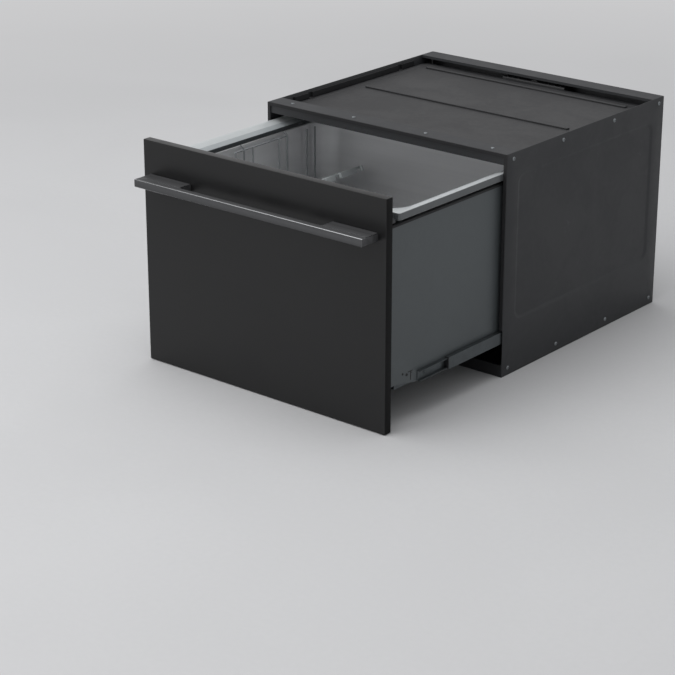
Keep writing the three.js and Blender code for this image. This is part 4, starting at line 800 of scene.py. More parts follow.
class DRAWER_OT_control_strip(bpy.types.Operator):
    """Control strip: a ribbed fascia behind the board, and three domed buttons with their
    bezels and lamps"""

    bl_idname = "drawer.control_strip"
    bl_label = "Control Strip"

    def execute(self, context):
        dress("control_fascia")
        seat = span("control_fascia")[1][2] - 0.0001
        edge = 0.0012
        lens = [[0.0011, 0], [0.0011, 0.0002], [0.0007, 0.00045], [0.0001, 0.0005]]
        bezels, lamps = [], []
        for name in ("button_power", "button_program", "button_start"):
            start, end, (x, y, _), (radius, _, _) = span(name)
            rest, fall = eased(edge, 6)
            dish = np.linspace(1, 0.06, 8)
            bowl = np.stack([(radius - edge) * dish, end[2] - 0.0004 * (1 - dish**2)], 1)
            profile = [[radius, start[2]], *np.stack([radius - fall, end[2] - rest], 1), *bowl[1:]]
            add_piece(f"{name}_cap", turned(profile, (x, y, 0)), name, "black_plastic", name)
            ring = np.array([[0.0004, 0], [0.0004, 0.0005], [0.0011, 0.0007], [0.0018, 0.0005],
                             [0.0021, 0]]) + (radius, 0)
            bezels.append(turned(ring, (x, y, seat), sides=40, ring=True))
            lamps.append(turned(lens, (x + 0.0125, y, seat), sides=16))
        add_piece("button_bezels", joined(bezels), "drawer", "grey_plastic", finish="zinc_steel")
        add_piece("status_lamps", joined(lamps), "drawer", "grey_plastic", finish="white_plastic")
        return {"FINISHED"}


# ---------------------------------------------------------------- rim and tub


class DRAWER_OT_rim(bpy.types.Operator):
    """Rim of the tub: a soft-edged section carried round the opening, level at the outside
    and sloping into the tub"""

    bl_idname = "drawer.rim"
    bl_label = "Rim"

    def execute(self, context):
        sizes = context.scene.drawer_sizes
        _, high, centre, half = span("rim_frame")
        top, wide, outer_wall = high[2], sizes.rim_width, 0.0125
        under, bottom = top - 0.014, top - sizes.rim_drop - sizes.rim_lip
        section = rounded([
            [0, under], [0, top], [sizes.rim_flat, top], [sizes.rim_crease, top - sizes.rim_fall],
            [wide, top - sizes.rim_drop], [wide, bottom], [outer_wall, bottom], [outer_wall, under],
        ], [0.0008, 0.0016, 0.002, 0.0006, 0.0012, 0.0008, 0.0006, 0.0006], 4, True)
        widening = (sizes.rim_corner - sizes.opening_corner) / wide
        loops = bead(half, centre, section, sizes.rim_corner, 16, widening)
        shape = skin(loops, ring=True)
        piece = add_piece("rim", shape, "drawer", "rim_plastic", "rim_frame", smooth=16)
        rise, place = face_values(piece, "normal")[:, 2], face_values(piece, "center")
        upright = np.abs(rise) < 0.5
        reach = (np.abs(place - centre) - half)[:, :2].max(1)
        inward = section[:, 0]
        inner = np.repeat((inward + np.roll(inward, -1)) / 2, loops.shape[1])
        # The outer face is painted darker grey: painted shade on the upright face below the rim's
        # top.
        paint(piece, "rim_side", upright & (place[:, 2] < top - 0.0008) & (reach > -0.006))
        # The slope is painted a little darker: painted shade on faces that tilt away from the top.
        paint(piece, "rim_slope", (rise > 0.5) & (inner > sizes.rim_crease))
        # The lip's upright faces are painted dark grey: painted shade inside the rim.
        paint(piece, "rim_lip", upright & (place[:, 2] < top - sizes.rim_drop) & (reach < -0.020))
        dress("rim_gasket")
        return {"FINISHED"}


class DRAWER_OT_tub(bpy.types.Operator):
    """Tub: drawn steel with a flange, a ledge for the racks, a foot that draws in and a floor
    that falls to the sump"""

    bl_idname = "drawer.tub"
    bl_label = "Tub"

    def execute(self, context):
        sizes = context.scene.drawer_sizes
        low, high, centre, half = span("tub")
        flange, ledge, foot, floor, sump = 0.018, 0.007, 0.022, 0.113, 0.076
        thick, r, b = sizes.tub_sheet, sizes.opening_corner, sizes.tub_bend
        ledge_z = span("left_rack_floor")[0][2] - 0.0003
        reach = [0.003, b, b, b, 0.0032, 0.0025]
        foot_corner = r - ledge - 0.0008

        def rows(out):
            """Half width, half length, corner radius and height, from the sump up to the flange,
            with more rows between the sump's edge and the floor's edge for a smooth fall."""
            wide, long = (half - flange)[:2] + out
            rim = (half - flange)[:2] + flange
            corners = rounded([
                [sump + out, sump + out, sump + out, low[2] + thick - out],
                [sump + out, sump + out, sump + out, floor - 0.004 - out],
                [wide - foot - 0.009, long - foot - 0.009, foot_corner, floor - out],
                [wide - foot, long - foot, foot_corner, floor + 0.009 - out],
                [wide - ledge, long - ledge, r - ledge + out, ledge_z - out],
                [wide, long, r + out, ledge_z - out],
                [wide, long, r + out, high[2] - out],
                [rim[0], rim[1], r + flange, high[2] - out],
            ], reach, 5)
            t = np.linspace(0, 1, 9)[1:-1, None]
            between = corners[6] * (1 - t) + corners[7] * t
            return np.concatenate([corners[:7], between, corners[7:]])

        wide, long, corner, height = np.concatenate([rows(thick), rows(0)[::-1]]).T
        shape = skin(round_loop(wide, long, corner, height, centre, 16))
        piece = add_piece("wash_tub", shape, "drawer", "stainless", "tub", smooth=60)
        paint(piece, "stainless_flat", np.abs(face_values(piece, "normal")[:, 2]) > 0.75)
        return {"FINISHED"}


class DRAWER_OT_insulation(bpy.types.Operator):
    """Felt blanket round the tub: a soft band whose faces swell between their stitched edges"""

    bl_idname = "drawer.insulation"
    bl_label = "Insulation"

    def execute(self, context):
        low, high, centre, half = span("insulation")
        thick, corner = 0.006, 0.0571
        level = np.linspace(0, 1, 13)
        swell = thick / 2 * (0.62 + 0.38 * np.sqrt(np.clip(1 - (2 * level - 1) ** 6, 0, 1)))
        z = low[2] + (high[2] - low[2]) * level
        inward = np.concatenate([thick / 2 - swell, (thick / 2 + swell)[::-1]])
        section = np.stack([inward, np.concatenate([z, z[::-1]])], 1)
        shape = skin(bead(half, centre, section, corner, 12), ring=True)
        piece = add_piece("felt_blanket", shape, "drawer", "felt", "insulation")
        return {"FINISHED"}


# ---------------------------------------------------------------- racks


class DRAWER_OT_racks(bpy.types.Operator):
    """Racks: frame wires, the grille's crossed wires, low walls all round, and on the left the
    tall guard with its two hooks"""

    bl_idname = "drawer.racks"
    bl_label = "Racks"

    def execute(self, context):
        sizes = context.scene.drawer_sizes
        thick, thin = sizes.frame_wire, sizes.cross_wire
        floor_low, floor_high, floor_centre, _ = span("right_rack_floor")
        x0, x1, reach, middle = 0.004, 0.255, 0.205, floor_centre[1]
        y0, y1 = middle - reach, middle + reach
        frame_z, cross_z = floor_low[2] + thick, floor_high[2] - thin
        foot, wall_z = frame_z + thick + 0.0003, span("right_rack_sides")[1][2] - thick
        corner, inner_corner = 0.044, 0.010
        places_y = np.linspace(y0 + corner, y1 - corner, 10)
        places_x = np.linspace(x0 + inner_corner + 0.008, x1 - corner, 5)
        sunk = thick + thin - 0.0007
        guard_x, guard_z = x1 - sunk, span("left_rack_sides")[1][2] - 0.0002
        tall_places = np.array([2.39, 3.09, 3.83, 6.05, 6.76, 8.5, 9.2])
        hooked = (1, 4)

        radii = np.array([corner, inner_corner, inner_corner, corner])
        frame_line = round_loop((x1 - x0) / 2, reach, radii, frame_z, ((x0 + x1) / 2, middle), 8)
        floor = [tube(frame_line, thick, 12, closed=True)]
        floor += [tube([[x, y, cross_z] for x in (x0, 0.06, 0.2, x1)], thin) for y in places_y]
        floor += [tube([[x, y, frame_z] for y in (y0, y0 + 0.05, y1 - 0.05, y1)], thin)
                  for x in places_x]

        def upright(x, y, *levels):
            """A thin wire that stands at a place through some heights."""
            return tube([[x, y, z] for z in levels], thin, up=(0, 1, 0))

        start = x0 + inner_corner
        wall = rounded([[start, y0, foot], [start, y0, wall_z], [x1, y0, wall_z],
                        [x1, y1, wall_z], [start, y1, wall_z], [start, y1, foot]],
                       [0.008, corner, corner, 0.008], 10)
        frame_top = [tube(wall, thick, 12, up=(0.3, 0.02, 1))]
        low_wires = [upright(guard_x, y, floor_high[2] + 0.0003, wall_z - 0.01, wall_z)
                     for y in places_y]
        end_wires = [upright(x, middle + end * (reach - sunk), foot, foot + 0.02, wall_z)
                     for x in places_x for end in (-1, 1)]
        clear = [np.abs(tall_places - place).min() >= 0.45 for place in range(10)]
        tall_y = places_y[0] + (places_y[1] - places_y[0]) * tall_places
        guard = []
        for place, y in enumerate(tall_y):
            if place not in hooked:
                guard.append(upright(guard_x, y, frame_z + thick, wall_z - 0.01, guard_z))
                continue
            hook = rounded([*([guard_x, y, z] for z in (frame_z + thick, wall_z - 0.01,
                                                        guard_z - 0.012, guard_z + 0.001)),
                            [guard_x + sizes.hook_reach, y - 0.0045, guard_z + 0.0088]],
                           [0.004, 0.004, 0.007], 8)
            guard.append(tube(hook, thin, up=(0, 1, 0)))
        guard.append(tube([[guard_x + thin, y, guard_z - thick]
                           for y in (tall_y[0] - 0.002, middle, tall_y[4] + 0.002)], thin))

        walls = {"right": frame_top + low_wires + end_wires,
                 "left": frame_top + [wire for wire, free in zip(low_wires, clear) if free]
                 + end_wires + guard}
        for side, name in SIDES:
            add_piece(f"{name}_rack_grille", mirrored(joined(floor), side), "drawer",
                      "coated_wire", f"{name}_rack_floor")
            add_piece(f"{name}_rack_walls", mirrored(joined(walls[name]), side), "drawer",
                      "coated_wire", f"{name}_rack_sides")
        return {"FINISHED"}


class DRAWER_OT_tine_rows(bpy.types.Operator):
    """Tine rows: ten tines with round tips on a rod, and the clips that hold the rod"""

    bl_idname = "drawer.tine_rows"
    bl_label = "Tine Rows"

    def execute(self, context):
        sizes = context.scene.drawer_sizes
        thick, thin = sizes.frame_wire, sizes.cross_wire
        rise = (0, 0.004, 0.03, sizes.tine_height)
        for name in (f"tine_row_{row}" for row in range(1, 5)):
            low, high, (x, _, _), _ = span(name)
            z, lap = low[2] + thick, 0.012
            places = np.linspace(low[1] + lap, high[1] - lap, 10)
            wires = [tube([[x, y, z] for y in (low[1], places[4], high[1])], thick, 12)]
            wires += [tube([[x, y, z + step] for step in rise],
                           [thin * 1.25, thin, thin, thin * 0.92], up=(0, 1, 0)) for y in places]
            add_piece(f"{name}_wires", joined(wires), name, "coated_wire", name)
            outline = arc((x, z), thick + 0.0022, thick + 0.0004, -35, 215)
            clips = [drawn(outline, y - 0.0035, y + 0.0035, 0.0002, "y", 1)
                     for y in (places[0] + 0.0176, places[9] - 0.0176)]
            add_piece(f"{name}_clips", joined(clips), "drawer", "grey_plastic")
        return {"FINISHED"}


class DRAWER_OT_cup_racks(bpy.types.Operator):
    """Cup racks: a hinge rod, an open frame with ribs, and a notched outer edge, drawn level
    and tilted about the rod"""

    bl_idname = "drawer.cup_racks"
    bl_label = "Cup Racks"

    def execute(self, context):
        sizes = context.scene.drawer_sizes
        bar, depth, half = sizes.cup_rack_bar, 0.121, 0.0025
        pivot_x, pivot_z = -0.2473, 0.270
        end, bottom, top = pivot_x + depth, pivot_z - half, pivot_z + half
        edge = end - 0.006
        pitch, last_rib = (depth - bar) / 4, 4
        all_notches, notch_half = np.array([-0.383, -0.316, -0.249, -0.182]), 0.009
        for name in ("cup_rack_front", "cup_rack_rear"):
            low, high, (_, middle, _), _ = span(name)
            y0, y1 = low[1], high[1]
            parts = [tube([[pivot_x, y, pivot_z] for y in (y0, middle, y1)], half, 14)]
            for start in (y0, y1 - bar):
                parts.append(block((pivot_x + 0.001, start, bottom), (edge, start + bar, top),
                                   0.0012, 0.0008, "x"))
            for rib in range(last_rib + 1):
                x = pivot_x + rib * pitch
                lower = 0 if rib in (0, last_rib) else 0.0004
                stop = x + bar - (0.006 if rib == last_rib else 0)
                parts.append(block((x + 0.0005, y0 + 0.002, bottom + lower),
                                   (stop, y1 - 0.002, top - lower), 0.0012, 0.0006, "y"))
            for y in y0 + np.arange(1, 7) * (y1 - y0) / 7:
                parts.append(block((pivot_x + bar, y - 0.0011, bottom + 0.0008),
                                   (edge - 0.002, y + 0.0011, top - 0.0008), 0.0006, 0.0003, "x"))
            notches = all_notches[(all_notches > y0) & (all_notches < y1)]
            for start, stop in zip([y0, *notches + notch_half], [*notches - notch_half, y1]):
                if stop - start >= 0.004:
                    parts.append(block((edge - 0.001, start, bottom - sizes.cup_tooth),
                                       (end, stop, top), 0.0012, 0.0008, "y"))
            shape = tilted(joined(parts), sizes.cup_rack_tilt, (pivot_x, 0, pivot_z))
            add_piece(f"{name}_tray", shape, name, "grey_plastic", name)
            outline = arc((pivot_x, pivot_z), 0.0049, 0.0028, 50, 310)
            hooks = [drawn(outline, y - 0.004, y + 0.004, 0.0003, "y", 1)
                     for y in (y0 + 0.018, y1 - 0.018)]
            add_piece(f"{name}_hooks", joined(hooks), "drawer", "grey_plastic")
        return {"FINISHED"}


class DRAWER_OT_cutlery_basket(bpy.types.Operator):
    """Cutlery basket: ribbed walls between three bands, slotted floor, two dividers and a hoop"""

    bl_idname = "drawer.cutlery_basket"
    bl_label = "Cutlery Basket"

    def execute(self, context):
        sizes = context.scene.drawer_sizes
        wall, slim = sizes.basket_wall, 0.0011
        (x0, y0, z0), (x1, y1, z1), centre, half = span("cutlery_basket")
        top = z0 + 0.112
        bands = [(z0, z0 + 0.010), (z0 + 0.050, z0 + 0.055), (top - 0.012, top)]
        parts = []
        for start, stop in bands:
            section = rounded([[0, start], [0, stop], [wall, stop], [wall, start]], 0.0006, 2, True)
            parts.append(skin(bead(half, centre, section, 0.006, 6, 0.9), ring=True))

        def upright(x, y, wide, deep):
            """Adds a rib that stands at a place, given its half sizes across."""
            parts.append(block((x - wide, y - deep, z0 + 0.005), (x + wide, y + deep, top - 0.006),
                               0.0005, 0.0002, "z", 1))

        for x in np.arange(x0 + 0.008, x1 - 0.007, sizes.basket_pitch):
            for y in (y0 + wall / 2, y1 - wall / 2):
                upright(x, y, slim, wall * 0.4)
        for y in np.arange(y0 + 0.008, y1 - 0.007, sizes.basket_pitch):
            for x in (x0 + wall / 2, x1 - wall / 2):
                upright(x, y, wall * 0.4, slim)
        cell = (x1 - x0 - 4 * wall) / 3
        for x in (x0 + cell + wall, x0 + 2 * (cell + wall)):
            for start, stop in bands:
                parts.append(block((x, y0 + wall / 2, start), (x + wall, y1 - wall / 2, stop),
                                   0.0006, 0.0002, "y", 2))
            for y in np.arange(y0 + 0.010, y1 - 0.009, 0.0145):
                upright(x + wall / 2, y, wall / 2 - 0.0003, slim)
        for y in np.arange(y0 + 0.006, y1 - 0.005, 0.0085):
            parts.append(block((x0 + wall / 2, y - 0.0012, z0),
                               (x1 - wall / 2, y + 0.0012, z0 + 0.002), 0.0006, 0.0002, "x", 1))
        for x in np.arange(x0 + 0.012, x1 - 0.011, 0.0145):
            parts.append(block((x - 0.0012, y0 + wall / 2, z0 + 0.0003),
                               (x + 0.0012, y1 - wall / 2, z0 + 0.0019), 0.0006, 0.0002, "y", 1))
        left, wire = x0 + wall + cell + wall / 2, 0.0025
        right, y = x0 + x1 - left, centre[1]
        hoop = rounded([[left, y, top - 0.008], [left, y, z1 - wire], [right, y, z1 - wire],
                        [right, y, top - 0.008]], 0.012, 8)
        parts.append(tube(hoop, wire, 12, up=(0, 1, 0)))
        add_piece("basket_lattice", joined(parts), "cutlery_basket", "grey_plastic",
                  "cutlery_basket")
        return {"FINISHED"}


# ---------------------------------------------------------------- wash system


def circle_places(centre, radius, step):
    """Places on a circle round a centre, an angle step in degrees apart."""
    turn = np.radians(np.arange(0, 360, step))
    return zip(centre[0] + radius * np.cos(turn), centre[1] + radius * np.sin(turn))


def spray_arm_shape():
    """The arm's skin: superellipses square to x, whose half width and half height swell with a
    smooth step within 45 mm of the hub and shrink with a circle's root over the last 12 mm."""
    low, _, (x0, y0, _), (long, _, tall) = span("spray_arm")
    place = np.linspace(-1, 1, 61)
    x = long * np.sign(place) * (1 - (1 - np.abs(place)) ** 1.6)
    near = np.clip(1 - np.abs(x) / 0.045, 0, 1)
    swell = near**2 * (3 - 2 * near)
    past = ((np.abs(x) - (long - 0.012)) / 0.012).clip(0)
    tip = np.sqrt(np.clip(1 - past**2, 0.0016, 1))
    wide = (0.012 + 0.012 * swell) * tip
    thick = (0.0046 + (tall - 0.0046) * swell) * (0.35 + 0.65 * tip)
    turn = np.linspace(0, 2 * np.pi, 28, endpoint=False)
    cos, sin = (np.sign(value) * np.abs(value) ** 0.8 for value in (np.cos(turn), np.sin(turn)))
    y = y0 + wide[:, None] * cos
    z = low[2] + tall + thick[:, None] * sin
    return skin(np.stack([np.broadcast_to(x0 + x[:, None], y.shape), y, z], -1))


class DRAWER_OT_wash_system(bpy.types.Operator):
    """Wash system: a lofted spray arm with its nozzles, the sieve plate on its hub, and the
    ribbed drain filter with its grip"""

    bl_idname = "drawer.wash_system"
    bl_label = "Wash System"

    def execute(self, context):
        add_piece("spray_arm_body", spray_arm_shape(), "spray_arm", "grey_plastic", "spray_arm")
        _, high, (x0, y0, z0), _ = span("spray_arm")
        z = z0 + 0.0046
        nozzle = [[0.0044, -0.0012], [0.0042, 0.0003], [0.0036, 0.0007], [0.0026, 0.0007],
                  [0.0022, -0.0002]]
        hub = [[0.0165, 0], [0.016, 0.0012], [0.0125, 0.0018], [0.0115, 0.0008], [0.004, 0.0006]]
        nozzles, slots = [], []
        for along, across in ((-0.168, 0.004), (-0.135, -0.003), (-0.098, 0.003), (-0.060, -0.004),
                              (0.052, 0.004), (0.088, -0.003), (0.122, 0.003), (0.160, -0.004)):
            x, y = x0 + along, y0 + across
            nozzles.append(turned(nozzle, (x, y, z), sides=18))
            slots.append(block((x - 0.0021, y - 0.0008, z - 0.0004),
                               (x + 0.0021, y + 0.0008, z + 0.0001), 0.0007, 0.0001))
        nozzles.append(turned(hub, (x0, y0, high[2] - 0.0019), sides=28))
        add_piece("spray_nozzles", joined(nozzles), "spray_arm", "grey_plastic")
        # The slots are thin black blocks on the arm: painted shade where the nozzle slots open.
        add_piece("spray_slots", joined(slots), "spray_arm", "grey_plastic", finish="black_plastic")
        dress("filter_plate", finish="sieve")
        dress("wash_motor", "drain_pump")
        low, high, (x0, y0, _), _ = span("drain_filter")
        bottom, flange = low[2], low[2] + 0.0104
        rest, fall = eased(0.001, 5)
        profile = [[0.019, bottom], [0.021, bottom + 0.002], [0.021, flange], [0.022, flange],
                   *np.stack([0.022 - fall, flange + 0.0025 - rest], 1),
                   [0.016, flange + 0.0025], [0.0145, flange + 0.0012]]
        parts = [turned(profile, (x0, y0, 0), sides=40)]
        parts += [turned([[0.0011, 0], [0.0011, 0.0006], [0.0006, 0.001]],
                         (x, y, flange + 0.0022), sides=8)
                  for x, y in circle_places((x0, y0), 0.0186, 30)]
        parts.append(block((x0 - 0.0145, y0 - 0.0025, flange), (x0 + 0.0145, y0 + 0.0025, high[2]),
                           0.0022, 0.0012))
        add_piece("filter_insert", joined(parts), "drain_filter", "dark_grey_plastic",
                  "drain_filter")
        return {"FINISHED"}


class DRAWER_OT_dispenser(bpy.types.Operator):
    """Detergent dispenser: a framed body with its cup, a door with a latch and three ribs,
    and the rinse-aid cap"""

    bl_idname = "drawer.dispenser"
    bl_label = "Dispenser"

    def execute(self, context):
        dress("dispenser_body")
        _, high, centre, half = span("dispenser_body")
        section = np.array([[0, 0], [0, 0.0010], [0.0012, 0.0016], [0.0034, 0.0016], [0.0042, 0]])
        loops = bead(half[[0, 2]], centre[[0, 2]], section + (0, high[1]), 0.006, 6, 0.6)
        add_piece("dispenser_bead", skin(loops[..., [0, 2, 1]], ring=True), "drawer",
                  "dark_grey_plastic")

        low, high, (x, middle, _), _ = span("dispenser_door")
        pin, face = 0.0015, high[1]
        hinge_z = low[2] + pin
        leaf = block((low[0], low[1], hinge_z), high, 0.0012, 0.0007)
        barrel = tube([[bx, middle, hinge_z] for bx in (low[0], 0.0975, high[0])], pin, 14)
        latch = block((x - 0.013, face - 0.0004, high[2] - 0.017),
                      (x + 0.013, face + 0.0022, high[2] - 0.005), 0.0025, 0.0012, "y", 4)
        ribs = [block((x - 0.030, face - 0.0003, z), (x + 0.030, face + 0.0006, z + 0.0016),
                      0.0006, 0.0003, "y", 2) for z in hinge_z + np.array([0.018, 0.026, 0.034])]
        add_piece("dispenser_leaf", joined([leaf, barrel, latch, *ribs]), "dispenser_door",
                  "grey_plastic", "dispenser_door")

        low, high, (x, _, z), (radius, _, _) = span("rinse_aid_cap")
        front, stem = low[1] + 0.011, 0.011
        rest, fall = eased(0.0012, 5)
        profile = [[stem, low[1]], [stem, front - 0.003], [radius, front - 0.003],
                   *np.stack([radius - fall, front - rest], 1),
                   [0.0125, front - 0.0006], [0.001, front - 0.0006]]
        grip = block((x - 0.002, front - 0.001, z - 0.0128), (x + 0.002, high[1], z + 0.0128),
                     0.0016, 0.0012, "y", 4)
        knurls = [block((px - 0.0005, front - 0.0028, pz - 0.0005),
                        (px + 0.0005, front - 0.0008, pz + 0.0005), 0.0002, 0.0001, "y", 1)
                  for px, pz in circle_places((x, z), radius - 0.0004, 15)]
        add_piece("rinse_cap", joined([turned(profile, (x, 0, z), "y", 40), grip, *knurls]),
                  "rinse_aid_cap", "white_plastic", "rinse_aid_cap")
        return {"FINISHED"}


# ---------------------------------------------------------------- lid and chassis


class DRAWER_OT_lid(bpy.types.Operator):
    """Lid: a plate with round corners and eased edges, a pressed rim line, low ribs, and lugs
    that run in the guides"""

    bl_idname = "drawer.lid"
    bl_label = "Lid"

    def execute(self, context):
        low, high, (_, middle, _), (_, long, _) = span("lid")
        wide, bottom, top = high[0] - 0.008, low[2], low[2] + 0.006
        groove, rib_in, rib_deep = top - 0.0009, 0.03, 0.01
        rest, fall = eased(0.0012, 5)
        section = np.array([*zip(rest, bottom + fall), *zip(rest[::-1], top - fall[::-1]),
                            (0.014, top), (0.0155, groove), (0.0185, groove), (0.020, top)])
        parts = [skin(bead((wide, long), (0, middle), section, 0.018, 12, 0.5))]
        pitch = (2 * long - 2 * rib_in - rib_deep) / 2
        for y in middle - long + rib_in + np.arange(3) * pitch:
            parts.append(block((rib_in - wide, y, top - 0.001),
                               (wide - rib_in, y + rib_deep, high[2]), 0.004, 0.0012))
        for side, _ in SIDES:
            for y in (-0.150, 0.150):
                lug = block((wide - 0.004, y - 0.006, bottom), (high[0], y + 0.006, top),
                            0.0012, 0.0008, "x")
                parts.append(mirrored(lug, side))
        add_piece("lid_plate", joined(parts), "lid", "black_plastic", "lid")
        dress("lid_seal")
        return {"FINISHED"}


def pressed_sheet(low, high, field_low, field_high, depth=0.0022):
    """A steel sheet square to x with a field pressed inward. Round-cornered rectangles lead from
    the sheet's edge to the field's, and over a smooth step to its level middle, on both faces."""
    t = np.linspace(0, 1, 7)
    step = t * t * (3 - 2 * t)
    sheet, ease = high[0] - low[0], 0.0003
    inside = np.array([1, -1, 1, -1])
    outer = np.array([low[1], high[1], low[2], high[2]])
    edges = np.array([[*outer, 0.0012], [*(outer + ease * inside), 0.001]])
    inward = 0.009 * t[:, None] * inside
    field = np.array([field_low[0], field_high[0], field_low[1], field_high[1]]) + inward
    rows = np.concatenate([edges, np.column_stack([field, 0.022 - 0.006 * t])])
    sunk = np.concatenate([[0.0002, 0], depth * step])
    rows = np.concatenate([rows[::-1], rows])
    level = np.concatenate([(sheet - sunk)[::-1], -sunk + [0.0004, *[0] * 8]])
    start, stop = rows[:, [0, 2]].T, rows[:, [1, 3]].T
    loops = round_loop(*(stop - start) / 2, rows[:, 4], level, (stop + start) / 2, 6)
    return skin(loops[..., [2, 0, 1]] + np.array([low[0], 0, 0]))


class DRAWER_OT_chassis(bpy.types.Operator):
    """Chassis: pressed side sheets, the tray, braces, seals and trim with their finishes, and
    the screws that hold them"""

    bl_idname = "drawer.chassis"
    bl_label = "Chassis"

    def execute(self, context):
        low, high = span("side_panel_right")[:2]
        sheet = pressed_sheet(low, high, (low[1] + 0.036, 0.106),
                              (high[1] - 0.036, high[2] - 0.044))
        for side, name in SIDES:
            add_piece(f"side_sheet_{name}", mirrored(sheet, side), "chassis", "shell_paint",
                      f"side_panel_{name}")
        back, face = span("rear_panel")[:2]
        points, faces = pressed_sheet(back[[1, 0, 2]], face[[1, 0, 2]], (back[0] + 0.040, 0.090),
                                      (face[0] - 0.040, face[2] - 0.040), 0.0030)
        swapped = points[:, [1, 0, 2]], [corners[::-1] for corners in faces]
        add_piece("rear_sheet", swapped, "chassis", "shell_paint", "rear_panel")
        section = np.array([[0, -0.0018], [0.0040, -0.0012], [0.0040, 0.0006], [0.0028, 0.0020],
                            [0.0008, 0.0024], [0, 0.0014]])
        grommets = [turned(section + (bore, 0), (x, face[1], 0.032), "y", 40, ring=True)
                    for x, bore in ((-0.210, 0.0135), (-0.120, 0.0105), (0.160, 0.0085))]
        add_piece("grommets", joined(grommets), "chassis", "black_rubber")
        dress("base_tray", "top_brace_front", "top_brace_rear", "front_seal", "toe_trim",
              "lid_guide_left", "lid_guide_right", "control_module", "rear_wrap")
        dress("front_carrier", "drawer_base",
              *(f"runner_{member}_{name}" for member in ("outer", "mid", "inner")
                for _, name in SIDES), finish="runner_steel")

        radius = context.scene.drawer_sizes.screw
        small = radius * 0.9
        heads = [mirrored(screw_head((high[0], y, z), "x", radius), side) for side, _ in SIDES
                 for y in (low[1] + 0.020, -0.09, 0.09, high[1] - 0.018)
                 for z in (low[2] + 0.013, high[2] - 0.012)]
        heads += [screw_head((x, face[1], z), "y", small) for x in (-0.284, -0.15, 0.0, 0.15, 0.284)
                  for z in (back[2] + 0.010, face[2] - 0.010)]
        brace = span("top_brace_front")[1]
        heads += [screw_head((x, brace[1] - 0.021, brace[2]), "z", small)
                  for x in (-0.25, -0.09, 0.09, 0.25)]
        add_piece("chassis_screws", joined(heads), "chassis", "zinc_steel")

        low, high = span("runner_mid_right")[:2]
        cap = block((low[0] - 0.0002, low[1] - 0.0022, low[2] + 0.0004),
                    (high[0] - 0.0001, low[1] - 0.0001, high[2] - 0.0004), 0.0016, 0.0008, "y")
        for side, name in SIDES:
            add_piece(f"runner_buffer_{name}", mirrored(cap, side), f"runner_mid_{name}",
                      "grey_plastic", finish="black_plastic")
        low, high, (_, _, z), _ = span("runner_inner_right")
        rivets = joined([screw_head((low[0] + 0.0012, y, z), "x", 0.0035)
                         for y in np.linspace(low[1] + 0.02, high[1] - 0.02, 5)])
        add_piece("runner_rivets", joined([mirrored(rivets, side) for side, _ in SIDES]),
                  "drawer", "zinc_steel", finish="runner_steel")

        low, high, (_, _, z), (_, _, r) = span("lid_actuator")
        case = block(low + (0, 0, 0.004), high - (0, 0, 0.004), 0.003, 0.0015, "x")
        rest, fall = eased(0.0015, 4)
        profile = [*zip(r - rest, low[1] + 0.004 + fall), (r, high[1])]
        ribs = [block((x, low[1] + 0.002, high[2] - 0.0045),
                      (x + 0.003, high[1] - 0.002, high[2] - 0.0028), 0.0008, 0.0004, "y", 2)
                for x in (-0.070, -0.055, -0.040, 0.037, 0.052, 0.067)]
        add_piece("lid_motor", joined([case, turned(profile, (0, 0, z), "y", 36), *ribs]),
                  "chassis", "black_plastic", "lid_actuator")
        return {"FINISHED"}


